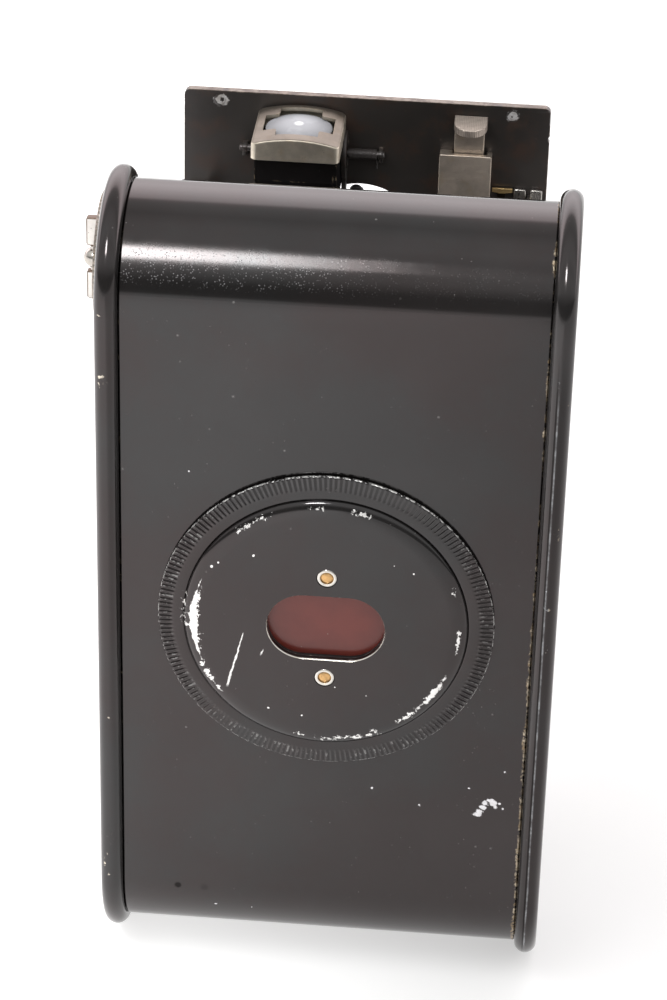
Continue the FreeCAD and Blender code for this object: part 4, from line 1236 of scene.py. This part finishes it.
def build_key():
    """Shaft, ball, and two finger tabs with a thin bridge through the ball."""
    axis = (0, KEY_Y, KEY_Z)
    shaft = [(0, -33.18), (1.7, -33.18), (2.0, -32.95), (2.05, -32.7), (2.05, -26.4),
             (1.52, -26.3), (1.52, -20.8), (1.3, -20.6), (0, -20.6)]
    add_piece("key_shaft_turned", lathe(shaft, 40, "x", axis), "winder", "nickel", "key_shaft",
              "nickel")

    ball_r, ball_x = 1.45, -33.85
    angles = [math.radians(a) for a in range(8, 141, 6)]
    ball = [(0.0, ball_x - ball_r)]
    ball += [(ball_r * math.sin(a), ball_x - ball_r * math.cos(a)) for a in angles]
    ball += [(0.8, -32.9), (0.95, -32.7), (0.0, -32.6)]
    add_piece("key_ball", lathe(ball, 48, "x", axis), "winder", "nickel_ball", "key_hub",
              "nickel")

    near, far = 1.9, 6.1                        # tab ends from the key axis
    parts = [block((-34.85, -32.62, z0, z1, 0.35, 6), KEY_Y - 0.6, KEY_Y + 0.6, "y",
                   bevel=0.16, rounds=3)
             for z0, z1 in ((KEY_Z + near, KEY_Z + far), (KEY_Z - far, KEY_Z - near))]
    parts.append(block((-34.3, -33.2, KEY_Z - 2.3, KEY_Z + 2.3, 0.2, 4),
                       KEY_Y - 0.45, KEY_Y + 0.45, "y"))
    add_piece("key_tabs", join(*parts), "winder", "nickel_key", "winding_key", "nickel", angle=50)


# =================================================================== lens board
def build_board():
    """Board with its openings, two small hinge ears and a round lug beside the finder."""
    left, right, half_height = -27.2, 26.5, 52.4
    outline = rounded_rect(left, right, -half_height, half_height, 1.0, 10)
    # a nick in the right-hand edge
    outline += [(right, 46.9), (right - 0.18, 47.2), (right - 0.22, 47.55),
                (right - 0.12, 47.85), (right, 48.0)]
    start, end = 62, 107                        # curved slot round the trip lever pin, degrees
    holes = [rounded_rect(-15.82, -3.70, 32.9, 44.8, 0.4, 4), circle(0, 0, 8.2, 72),
             circle(TRIP_X, TRIP_Z, 0.92, 24), circle(0, LEG_PIVOT_Z, 1.2, 24),
             arc(TRIP_X, TRIP_Z, 9.2, start, end, 20) + arc(TRIP_X, TRIP_Z, 7.1, end, start, 20)]
    holes += [circle(x, z, 0.92, 24) for x, z in BOARD_RIVETS]
    parts = [plate([outline] + holes, BOARD_BACK, BOARD_FRONT, "y", bevel=0.03)]
    foot_y = 61.35
    for x0, x1, ear_r in ((-18.5, -17.7, 0.62), (1.65, 2.25, 0.7)):
        ear = [(foot_y, 42.4), (foot_y, HINGE_Z + ear_r), (HINGE_Y, HINGE_Z + ear_r)]
        ear += arc(HINGE_Y, HINGE_Z, ear_r, 95, 265, 12)[1:] + [(60.3, 42.6)]
        parts.append(plate([ear, circle(HINGE_Y, HINGE_Z, 0.5, 20)], x0, x1, "x", bevel=0.1))
    lug = [(foot_y, 38.0), (foot_y, 47.15)] + arc(HINGE_Y, HINGE_Z, 3.4, 72, 180, 22)
    lug += [(57.4, 42.0), (58.6, 40.8), (59.1, 40.0), (59.2, 38.0)]
    parts.append(plate([lug, circle(HINGE_Y, HINGE_Z, 0.56, 24)], -3.68, -2.98, "x", bevel=0.1))
    add_piece("lens_board_plate", join(*parts), "lens_standard", "board", "lens_board",
              "black_board", angle=40)

    rivet = [(0.0, 61.1), (0.5, 61.11), (0.8, 61.15), (0.9, 61.2), (0.9, 62.42), (0.8, 62.5),
             (0.5, 62.56), (0, 62.57)]
    rivets = [lathe(rivet, 32, "y", (x, 0, z)) for x, z in BOARD_RIVETS]
    add_piece("board_rivet_heads", join(*rivets), "lens_standard", "board", "board_rivets",
              "nickel")


# =================================================================== finder
def build_finder_cap():
    """Pressed cap with a cross-shaped opening, its top bent down towards both sides."""
    x0, x1, y0, y1 = -16.1, -3.3, 48.3, 60.8
    top, low, sheet = 51.07, 47.6, 0.5
    bend_r = 21.6

    def ring(inset):
        radius = max(0.85 - inset, 0.25)
        return rounded_rect(x0 + inset, x1 - inset, y0 + inset, y1 - inset, radius, 8)

    def lifted(loop, z):
        return [(x, y, z) for x, y in loop]
    # inset, z: from inside the lower edge round to the top
    levels = [(sheet, low + 0.05), (0.42, low), (0.1, low), (0.0, low + 0.08),
              (0.0, top - 0.3), (0.05, top - 0.12), (0.16, top - 0.03), (0.32, top)]
    # one corner of the cross, from the centre: end of a side arm to end of a front or rear arm
    corner = [(5.1, 2.6), (3.35, 2.6), (3.1, 2.85), (3.1, 4.7)]
    quarters = ((1, 1, 1), (-1, 1, -1), (-1, -1, 1), (1, -1, -1))    # sign x, sign y, order
    cross = [(FINDER_X + sx * a, FINDER_Y + sy * b)
             for sx, sy, order in quarters for a, b in corner[::order]]
    mesh = join(loft([lifted(ring(inset), z) for inset, z in levels]),
                fill([ring(0.32), cross], top, "z"),
                fill([ring(sheet), cross], top - sheet, "z"),
                loft([lifted(cross, top), lifted(cross, top - sheet)]),
                loft([lifted(ring(sheet), low + 0.05), lifted(ring(sheet), top - sheet)]))
    verts, faces = slice_x(mesh, [x0 + 0.4 * i for i in range(1, 32)])
    bent = []
    for x, y, z in verts:
        share = min(1.0, max(0.0, (z - 48.0) / 2.0))     # the lower edge stays straight
        drop = bend_r - math.sqrt(bend_r * bend_r - (x - FINDER_X) ** 2)
        bent.append((x, y, z - share * drop))
    add_piece("finder_cap_pressed", (bent, faces), "finder", "nickel_cap", "finder_cap",
              "nickel", angle=38)


def build_finder_box():
    """Top lens, housing, and the small round lens in front."""
    lens_r, crown_z, dome_r = 4.85, 50.9, 14.0
    profile = [(0.0, 48.9), (lens_r, 48.9), (lens_r, 49.95)]
    for i in range(1, 17):
        r = lens_r * (1 - i / 16)
        profile.append((r, crown_z - dome_r + math.sqrt(dome_r ** 2 - r * r)))
    add_piece("finder_condenser", lathe(profile, 72, "z", (FINDER_X, FINDER_Y, 0)), "finder",
              "finder_glass", "finder_top_lens", "glass", angle=50)

    # two cheeks, rear wall, floor, sloping back, and the front below and above its gap
    left, right, sheet = -15.75, -3.75, 0.5
    x0, x1 = left + 0.1, right - 0.1
    lens_z = 41.15
    cheek = [(50.5, 47.5), (60.75, 47.5), (60.75, 39.0), (56.6, 39.0), (50.5, 43.4)]
    parts = [plate([cheek, circle(HINGE_Y, HINGE_Z, 0.55, 24)], a, b, "x")
             for a, b in ((left, left + sheet), (right - sheet, right))]
    parts.append(block((x0, x1, 43.35, 47.45, 0.15, 3), 50.52, 51.05, "y", bevel=0.08))
    parts.append(block((x0, x1, 56.5, 60.6, 0.15, 3), 39.02, 39.55, "z", bevel=0.08))
    length = math.hypot(6.1, 4.4)               # run and rise of the cheek's sloping edge
    run, rise = 6.1 / length, 4.4 / length
    verts, faces = block((x0, x1, 0, length, 0.15, 3), 0, sheet, "z", bevel=0.08)
    parts.append(([(x, 56.62 - t * run + w * rise, 39.02 + t * rise + w * run)
                   for x, t, w in verts], faces))
    front = [rounded_rect(x0, x1, 39.1, 43.25, 0.1, 3), circle(FINDER_X, lens_z, 1.85, 40)]
    parts.append(plate(front, 60.2, 60.74, "y", bevel=0.08))
    parts.append(block((x0, x1, 45.05, 47.45, 0.1, 3), 60.2, 60.74, "y", bevel=0.08))
    add_piece("finder_box", join(*parts), "finder", "box", "finder_housing", "black_board",
              angle=40)

    lens = [(0.0, 60.8), (0.9, 60.74), (1.7, 60.5), (1.85, 60.4), (1.85, 60.1), (0.0, 60.1)]
    add_piece("finder_objective", lathe(lens, 40, "y", (FINDER_X, 0, lens_z)), "finder",
              "glass", "finder_front_lens", "glass")


def build_finder_hinge():
    """Hinge rod, and a close-wound torsion spring with two legs."""
    rod = [(0, -18.9), (0.4, -18.9), (0.5, -18.8), (0.5, 2.38), (0.42, 2.5), (0, 2.5)]
    add_piece("finder_rod", lathe(rod, 24, "x", (0, HINGE_Y, HINGE_Z)), "lens_standard", "rod",
              "finder_hinge_rod", "blackened")

    turns, steps_per_turn = 22.25, 16
    x0, x1, coil_r = -2.85, 1.38, 0.70
    path = [(x0, HINGE_Y - 3.0, HINGE_Z - 0.9), (x0, HINGE_Y - 1.2, HINGE_Z - 0.8)]
    steps = int(turns * steps_per_turn)
    for i in range(steps + 1):
        angle = -math.pi / 2 + 2 * math.pi * turns * i / steps
        path.append((x0 + (x1 - x0) * i / steps, HINGE_Y + coil_r * math.cos(angle),
                     HINGE_Z + coil_r * math.sin(angle)))
    path += [(x1 + 0.03, HINGE_Y + 0.7, HINGE_Z - 1.2), (x1 + 0.03, HINGE_Y + 0.75, HINGE_Z - 2.6)]
    add_piece("finder_torsion_spring", tube(path, radius=0.10, sides=7), "lens_standard", "rod",
              "finder_spring", "blackened", angle=60)


# =================================================================== release
def build_release():
    """Guide channel on the back of the board, sliding stem and thumb pad."""
    left, right, low = 10.6, 18.25, 33.0
    mesh = join(
        block((left, right, low, 45.2, 0.3, 5), 58.9, 59.75, "y", rounds=3),
        block((left, 12.5, low, 45.1, 0.2, 4), 59.7, 61.18, "y", bevel=0.1),
        block((17.45, right, low, 45.1, 0.2, 4), 59.7, 61.18, "y", bevel=0.1))
    add_piece("release_guide_channel", mesh, "lens_standard", "nickel", "release_guide",
              "nickel", angle=45)
    stem = block((12.65, 17.05, 31.5, 50.0, 0.3, 4), 59.88, 61.08, "y", bevel=0.14, rounds=3)
    add_piece("release_stem", stem, "release", "nickel", "release_slide", "nickel", angle=45)

    # D-shaped pad, sloping up towards the board
    pad_x, pad_y, foot_y, slope = 14.97, 59.6, 61.05, 0.34
    angles = [math.radians(a) for a in range(184, 357, 8)]
    outline = [(12.55, foot_y), (12.55, pad_y)]
    outline += [(pad_x + 2.42 * math.cos(a), pad_y + 1.75 * math.sin(a)) for a in angles]
    outline += [(17.4, pad_y), (17.4, foot_y)]
    verts, faces = plate([outline], 49.55, 50.75, "z", bevel=0.2, rounds=3)
    verts = [(x, y, z + (y - foot_y) * slope) for x, y, z in verts]
    add_piece("release_thumb_pad", (verts, faces), "release", "knurled", "release_slide",
              "nickel", angle=45)


def build_leaf_spring():
    """Bent brass strip with a domed pin."""
    outline = [
        (18.5, 38.9), (19.3, 38.8), (19.4, 37.2), (19.4, 31.5), (19.2, 31.3), (15.9, 31.3),
        (15.9, 30.6), (20.0, 30.6), (20.4, 31.0), (20.4, 37.4), (20.5, 38.8), (21.5, 38.9),
        (21.5, 39.55), (18.5, 39.55),
    ]
    pin = [(0.0, 60.05), (0.3, 60.1), (0.45, 60.3), (0.48, 60.49), (0.3, 60.5), (0.3, 61.2),
           (0, 61.2)]
    mesh = join(plate([outline], 60.5, 60.95, "y", bevel=0.1),
                lathe(pin, 28, "y", (19.9, 0, 36.2)))
    add_piece("release_leaf", mesh, "lens_standard", "brass", "release_spring", "brass", angle=45)


def build_trip():
    """Trip lever and its pin."""
    outline = arc(TRIP_X, TRIP_Z, 2.6, 200, 330, 14) + [(6.0, 28.9), (15.0, 29.0)]
    outline += arc(14.8, 30.15, 1.15, -80, 88, 8)
    outline += [(3.4, 31.4), (1.6, 31.9), (0.4, 33.5), (-0.5, 38.2)]
    outline += arc(-1.55, 37.7, 1.05, 25, 155, 8)[1:] + [(-2.75, 33.0)]
    lever = plate([outline, circle(TRIP_X, TRIP_Z, 0.95, 24)], 59.95, 60.95, "y", bevel=0.14)
    add_piece("trip_lever_plate", lever, "trip", "black", "trip_lever", "blackened", angle=45)
    stud = [(0.0, 59.35), (0.7, 59.37), (1.3, 59.45), (1.35, 59.6), (1.3, 59.85), (0.88, 59.9),
            (0.88, 62.35), (0.0, 62.38)]
    add_piece("trip_lever_stud", lathe(stud, 32, "y", (TRIP_X, 0, TRIP_Z)), "lens_standard",
              "nickel", "trip_lever_pin", "strut_nickel", angle=45)


# =================================================================== struts
STRUT_LENGTH, STRUT_WIDTH = 68.6, 5.0
REAR_Y, PIVOT_Z = 19.3, -34.5                   # rear pivot
OPEN_ANGLE = math.asin(38.9 / STRUT_LENGTH)     # from upright, with the bellows drawn out
SHUT_ANGLE = math.asin(13.7 / STRUT_LENGTH)     # from upright, at the other end of the slots
FRONT_Y = REAR_Y + STRUT_LENGTH * math.sin(OPEN_ANGLE)
OPEN_Z_TOP = PIVOT_Z + STRUT_LENGTH * math.cos(OPEN_ANGLE)
SHUT_Z_TOP = PIVOT_Z + STRUT_LENGTH * math.cos(SHUT_ANGLE)
CROSSING = ((REAR_Y + FRONT_Y) / 2, (PIVOT_Z + OPEN_Z_TOP) / 2)


def build_struts(side, label):
    """Crossed arms of one side, and the slotted bracket on the lens board."""
    def lane(inner, outer):
        return (inner, outer) if side > 0 else (-outer, -inner)

    # direction, lane, rear end, front end, hole radii at rear, crossing and front
    for direction, span, rear, front, radii in (
            ("up", (25.42, 26.08), (REAR_Y, PIVOT_Z), (FRONT_Y, OPEN_Z_TOP), (1.05, 1.0, 1.0)),
            ("down", (24.52, 25.18), (REAR_Y, OPEN_Z_TOP), (FRONT_Y, PIVOT_Z),
             (1.0, 1.05, 1.05))):
        holes = [circle(*place, r, 24) for place, r in zip((rear, CROSSING, front), radii)]
        arm = plate([bar_outline(rear, front, STRUT_WIDTH)] + holes, *lane(*span), "x")
        node = f"strut_{direction}_{label}"
        add_piece(f"strut_arm_{direction}_{label}", arm, node, "nickel_strip", node,
                  "strut_nickel", angle=45)

    right = side > 0
    face_y = 61.18                              # bracket face against the board
    top = 38.4 if right else 37.8
    slot = (arc(FRONT_Y, SHUT_Z_TOP, 1.06, 0, 180, 12)
            + arc(FRONT_Y, OPEN_Z_TOP, 1.06, 180, 360, 12))
    outline = [(face_y, -39.4), (face_y, top), (59.4, top)]
    if right:
        outline.append((59.4, 38.3))
    outline += [(59.0, 37.8), (55.7, 37.8), (55.2, 37.3), (55.2, -37.3), (55.7, -37.8),
                (59.0, -37.8), (59.4, -38.3), (59.4, -39.4)]
    parts = [plate([outline, slot, circle(FRONT_Y, PIVOT_Z, 1.0, 24)], *lane(23.62, 24.28), "x")]
    feet = [(-39.6, -38.0)]                     # z spans of the plain feet
    if right:
        # upper foot with two tabs
        parts.append(block((21.7, 25.9, 37.0, 38.0, 0.2, 4), 60.5, face_y, "y", bevel=0.1))
        for x0, x1 in ((21.7, 23.5), (24.1, 25.9)):
            parts.append(block((x0, x1, 37.6, 39.55, 0.3, 5), 60.4, face_y, "y", bevel=0.14))
    else:
        feet.insert(0, (36.2, 37.8))
    rivet = [(0.0, 60.1), (0.4, 60.13), (0.62, 60.25), (0.65, 60.42), (0, 60.5)]
    for z0, z1 in feet:
        parts.append(block((*lane(23.62, 26.4), z0, z1, 0.4, 5), 60.4, face_y, "y"))
        parts.append(lathe(rivet, 24, "y", (side * 25.5, 0, (z0 + z1) / 2)))
    add_piece("strut_guide_" + label, join(*parts), "lens_standard", "nickel_strip",
              "strut_bracket_" + label, "strut_nickel", angle=45)


# =================================================================== bellows
def build_bellows():
    """Tapering pleated box of leather, drawn as an outer and an inner layer."""
    rear_y, front_y = 7.25, 60.05
    rear_x, rear_z = 21.9, 33.2                 # half sizes at the rear
    front_x, front_z = 16.6, 21.6               # half sizes at the front
    folds, steps_per_fold = 13, 8
    fold_depth, thickness = 1.35, 0.55
    steps = folds * steps_per_fold
    rings = []
    for inner in (False, True):
        for i in range(steps + 1):
            t = i / steps
            y = rear_y + (front_y - rear_y) * t
            pleat = 1 - abs(2 * ((t * folds) % 1.0) - 1)
            pleat = pleat * pleat * (3 - 2 * pleat) * 0.35 + pleat * 0.65
            fade = min(1, t * 14, (1 - t) * 14)          # flat at both ends
            inset = -fold_depth * pleat * fade - (thickness if inner else 0.0)
            half_x = rear_x + (front_x - rear_x) * t + inset
            half_z = rear_z + (front_z - rear_z) * t + inset
            corner = max(0.6, 2.4 - 1.1 * pleat * fade - (0.4 if inner else 0))
            outline = rounded_rect(-half_x, half_x, -half_z, half_z, corner, 10)
            rings.append([(x, y, z) for x, z in outline])
    count, layer = len(rings[0]), steps + 1
    verts, faces = join(loft(rings[:layer]), loft(rings[layer:]))
    for i in (0, steps):
        faces += bridge(i * count, (layer + i) * count, count)
    piece = add_piece("bellows_leather", (verts, faces), "camera_body", "leather", "bellows",
                      "leather", angle=70, weighted=False)
    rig.squash(piece, "struts_fold", axis=(0, 1, 0), anchor=(0, rear_y / 1000, 0), keep=0.523)


# =================================================================== shutter
def build_shutter_drum():
    """Drawn cup with a slot low in its side wall, and two studs inside."""
    back_y, front_y = 62.42, 70.4
    slot_back, slot_front = 67.8, 69.2
    slot_start, slot_end = -118, -62            # degrees
    outer, inner, bore = 21.0, 20.2, 8.2
    segments = 180
    # radius, y
    section = [
        (inner, back_y + 0.6), (inner, slot_back), (inner, slot_front), (inner, front_y),
        (20.8, front_y), (outer, front_y - 0.2), (outer, slot_front), (outer, slot_back),
        (outer, back_y + 0.2), (20.85, back_y), (bore, back_y), (bore, back_y + 0.6),
    ]
    count = len(section)
    verts = lathe(section, segments)[0]

    def in_slot(k):
        angle = (360 * (k + 0.5) / segments + 180) % 360 - 180
        return slot_start <= angle <= slot_end
    faces = []
    for k in range(segments):
        k2 = (k + 1) % segments
        here, there = k * count, k2 * count
        quads = bridge(here, there, count)
        if not in_slot(k):
            faces += quads
            continue
        faces += [quad for i, quad in enumerate(quads) if i not in (1, 6)]
        # the slot's two long walls, and its ends
        faces.append([here + 1, there + 1, there + 7, here + 7])
        faces.append([here + 2, here + 6, there + 6, there + 2])
        if not in_slot((k - 1) % segments):
            faces.append([here + 1, here + 7, here + 6, here + 2])
        if not in_slot(k2):
            faces.append([there + 1, there + 2, there + 6, there + 7])
    mesh = join((verts, faces),
                lathe([(0, 63.0), (1.0, 63.0), (1.0, 70.3), (0, 70.3)], 24, "y", (0, 0, -11.2)),
                lathe([(0, 63.0), (1.2, 63.0), (1.2, 66.1), (0, 66.1)], 24, "y", (11.5, 0, 8.0)))
    add_piece("shutter_drum", mesh, "lens_standard", "satin", "shutter_case", "black_board",
              angle=35)


def build_shutter_face():
    """Cover with a stepped lens bezel and four screws."""
    # radius, y
    profile = [
        (4.2, 71.15), (4.2, 70.45), (4.3, 70.41), (20.7, 70.41), (20.95, 70.55), (21.0, 70.75),
        (20.95, 71.0), (20.7, 71.15), (17.0, 71.2), (16.6, 71.32), (16.2, 71.2), (10.1, 71.2),
        (9.75, 71.35), (9.5, 71.7), (9.45, 72.4), (9.25, 72.58), (8.8, 72.6), (8.3, 72.45),
        (7.0, 71.35), (6.6, 71.22),
    ]
    screw = [(0, 71.42), (0.55, 71.4), (0.85, 71.3), (0.92, 71.12), (0, 71.1)]
    screw_circle_r = 18.6
    parts = [lathe(profile, 180, closed=True)]
    for turn in (45, 135, 225, 315):
        angle = math.radians(turn)
        centre = (screw_circle_r * math.cos(angle), 0, screw_circle_r * math.sin(angle))
        parts.append(lathe(screw, 28, "y", centre))
    add_piece("shutter_face", join(*parts), "lens_standard", "satin", "shutter_cover",
              "black_board", angle=35)


def build_leg():
    """Stand leg and its pivot."""
    half, shoulder_z = 3.6, -42.9
    outline = [(-half, shoulder_z), (-3.3, -42.6), (3.3, -42.6), (half, shoulder_z),
               (half, -58.0)]
    outline += arc(0, -57.9, half, 0, -40, 5)[1:] + [(1.9, -61.45), (-1.9, -61.45)]
    outline += arc(0, -57.9, half, 220, 180, 5)
    leg = plate([outline, circle(0, LEG_PIVOT_Z, 1.26, 24)], 62.55, 63.38, "y", bevel=0.16)
    add_piece("stand_leg_plate", leg, "leg", "satin", "stand_leg", "black_board", angle=45)
    rivet = [(0, 61.25), (1.15, 61.25), (1.2, 61.4), (1.2, 63.5), (2.15, 63.52), (2.2, 63.62),
             (1.9, 63.8), (1.2, 63.88), (0, 63.9)]
    add_piece("stand_leg_rivet", lathe(rivet, 36, "y", (0, 0, LEG_PIVOT_Z)), "lens_standard",
              "nickel_bright", "stand_leg_pivot", "nickel", angle=40)


# =================================================================== frame pieces kept as they are
KEPT_PIECES = {
    "felt": ("disc_seal",),
    "mirror": ("finder_mirror",),
    "nickel_bright": ("strut_up_pins_right", "strut_up_pins_left", "strut_down_pin_right",
                      "strut_down_pin_left", "strut_rear_pins", "strut_front_pins"),
    "black": ("strut_rail_right", "strut_rail_left", "film_gate", "bellows_rear_frame",
              "bellows_front_frame", "shutter_blade", "lens_retainer", "cover_spring_clips",
              "takeup_spool", "supply_spool"),
    "nickel": ("film_roller_top", "film_roller_bottom", "lens_cell", "stop_wheel"),
    "glass": ("meniscus_lens",),
}


def repaint_kept_pieces():
    for material, names in KEPT_PIECES.items():
        for name in names:
            slots = NODES[name].data.materials
            slots.clear()
            slots.append(MATERIALS[material])


# =================================================================== stage, in metres
def build_floor():
    """Grey paper under the rolled rims, with painted light: shaded from left to right, and glowing to lighten the
    shadows on it.
    """
    z = (LOW_Z - RIM_R - RIM_BEAD) * MM
    x_half, y_near, y_far = 3.0, -3.6, 2.6
    data = bpy.data.meshes.new("floor")
    data.from_pydata([(-x_half, y_near, z), (x_half, y_near, z), (x_half, y_far, z),
                      (-x_half, y_far, z)], [], [[0, 1, 2, 3]])
    floor = bpy.data.objects.new("floor", data)
    SCENE_OBJECTS.objects.link(floor)
    graph = new_graph("Floor_paper")
    x, y, z = graph.xyz()
    light = 1.36 - x.step(off=-0.050, on=0.045, at_on=0.47)
    light = light * y.step(off=-0.16, on=-0.03, at_off=1.0, at_on=1.10)
    light = light * x.step(off=0.035, on=0.10, at_off=1.0, at_on=0.90)
    paper = graph.noise(60, detail=3, rough=0.6).mix((0.44, 0.44, 0.44), (0.46, 0.46, 0.457))
    colour = graph.vector("SCALE", paper)
    graph.feed(colour.node.inputs["Scale"], light)
    data.materials.append(graph.finish(graph.principled(
        Base_Color=colour, Roughness=0.9,
        Normal=graph.bump(graph.noise(2500), strength=0.05, distance=0.00005),
        # painted glow that lightens the shadows on the paper
        Specular_IOR_Level=0.2, Emission_Color=(1.0, 0.995, 0.99),
        Emission_Strength=light * 0.5)))
    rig.stage(floor)


# degrees over the top of the scene, from the horizon at -Y; brightness
SKY = [
    (0, 1.0), (1.0, 0.85), (3.0, 0.26), (8, 0.20), (18, 0.22), (26, 0.55), (33, 0.85),
    (45, 1.0), (58, 0.85), (72, 1.05), (88, 0.95), (104, 0.65), (120, 0.80), (125, 1.0),
    (130, 2.5), (140, 2.9), (150, 2.85), (160, 2.4), (168, 1.8), (176, 1.35), (180, 1.3),
]


def build_world():
    """Banded studio sky for reflections; the view itself sees plain white."""
    strength = 3.0                              # the ramp holds brightness over this
    warm_from, warm_green, warm_blue = 125, 0.92, 0.935
    world = bpy.data.worlds.new("studio")
    bpy.context.scene.world = world
    graph = Graph(world, "Generated", "ShaderNodeOutputWorld")
    x, y, z = graph.xyz()
    turn = graph.math("ARCTAN2", z, y * -1.0)
    span = {"Value": turn, "From Min": 0.0, "From Max": math.pi}
    share = graph.node("ShaderNodeMapRange", span).outputs[0]
    ramp = graph.node("ShaderNodeValToRGB", {0: share})
    stops = ramp.color_ramp.elements
    stops.remove(stops[-1])
    for angle, brightness in SKY:
        stop = stops.new(angle / 180) if angle else stops[0]
        level, warm = brightness / strength, angle >= warm_from
        stop.color = (level, level * (warm_green if warm else 1.0),
                      level * (warm_blue if warm else 1.0), 1)
    sky = graph.node("ShaderNodeBackground", {0: ramp.outputs[0], 1: strength})
    plain_white = graph.node("ShaderNodeBackground", {0: (1, 1, 1, 1), 1: 1.05})
    seen = graph.node("ShaderNodeLightPath").outputs["Is Camera Ray"]
    graph.finish(graph.node("ShaderNodeMixShader", {
        0: seen, 1: sky.outputs[0], 2: plain_white.outputs[0]}).outputs[0])


# name, place, target, width, height, watts, seen in reflections, lights diffuse surfaces
LIGHTS = [
    ("key_soft", (-0.45, -0.25, 0.95), (0, 0.03, 0), 0.7, 0.5, 5.0, False, True),
    # the bright streak on the rounded top, and its fading end
    ("streak", (-0.205, -0.668, 0.873), (-0.205, 0, 0.05), 0.19, 0.26, 5.2, True, False),
    ("streak_end", (-0.08, -0.668, 0.873), (-0.08, 0, 0.05), 0.06, 0.26, 0.22, True, False),
    ("back_top", (0.1, 0.9, 0.75), (0, 0.03, 0), 0.8, 0.5, 4.0, False, True),
]


def build_lights():
    for name, place, target, width, height, power, glossy, diffuse in LIGHTS:
        light = bpy.data.lights.new(name, "AREA")
        light.shape = "RECTANGLE"
        light.size, light.size_y = width, height
        light.energy = power
        lamp = bpy.data.objects.new(name, light)
        SCENE_OBJECTS.objects.link(lamp)
        lamp.location = place
        aim = Vector(target) - Vector(place)
        lamp.rotation_euler = aim.to_track_quat("-Z", "Y").to_euler()
        lamp.visible_glossy = glossy
        lamp.visible_camera = False
        lamp.visible_diffuse = diffuse


def build_camera():
    """View of the back from above."""
    place = (0.0298, -0.3999, 0.2581)
    pitch, yaw, roll = [math.radians(a) for a in (30.654, -4.1585, 1.524)]
    forward = Vector((math.sin(yaw) * math.cos(pitch), math.cos(yaw) * math.cos(pitch),
                      -math.sin(pitch)))
    level = Vector((math.cos(yaw), -math.sin(yaw), 0))
    upright = level.cross(forward)
    right = level * math.cos(roll) + upright * math.sin(roll)
    up = -level * math.sin(roll) + upright * math.cos(roll)
    lens = bpy.data.cameras.new("camera")
    lens.sensor_fit = "AUTO"
    lens.sensor_width = 36
    lens.lens = 124.0128
    lens.clip_start = 0.01
    lens.clip_end = 20
    camera = bpy.data.objects.new("camera", lens)
    SCENE_OBJECTS.objects.link(camera)
    rows = [(right[i], up[i], -forward[i], place[i]) for i in range(3)]
    camera.matrix_world = Matrix((*rows, (0, 0, 0, 1)))
    bpy.context.scene.camera = camera


def set_view():
    view = bpy.context.scene.view_settings
    view.view_transform = "Standard"
    view.look = "None"
    view.exposure = 0.0
    view.gamma = 1.0


# =================================================================== build
build_shell()
build_side(1, "side_cover_right", "side_cover", "right_rim", "right_side_cover")
build_side(-1, "side_plate_left", "camera_body", "left_rim", "left_side_plate")
build_spool_pins(1, "spool_pins_right", "side_cover", "cover_spool_pins",
                 ((KEY_Y, KEY_Z), (MID_Y, LOW_Z)))
build_spool_pins(-1, "spool_pin_left", "camera_body", "supply_spool_pin", ((MID_Y, LOW_Z),))
build_disc_cap()
build_disc_rim()
build_window()
build_key_cup()
build_key()
build_board()
build_finder_cap()
build_finder_box()
build_finder_hinge()
build_release()
build_leaf_spring()
build_trip()
build_struts(1, "right")
build_struts(-1, "left")
build_bellows()
build_shutter_drum()
build_shutter_face()
build_leg()
repaint_kept_pieces()
build_floor()
build_world()
build_lights()
build_camera()
set_view()


def plain(box):
    return [[float(c) for c in corner] for corner in box]


try:
    with open("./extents.json", "w") as fh:
        json.dump({"cad": plain(CAD_BOX), "visual": plain(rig.bounds())}, fh)
except OSError:
    pass
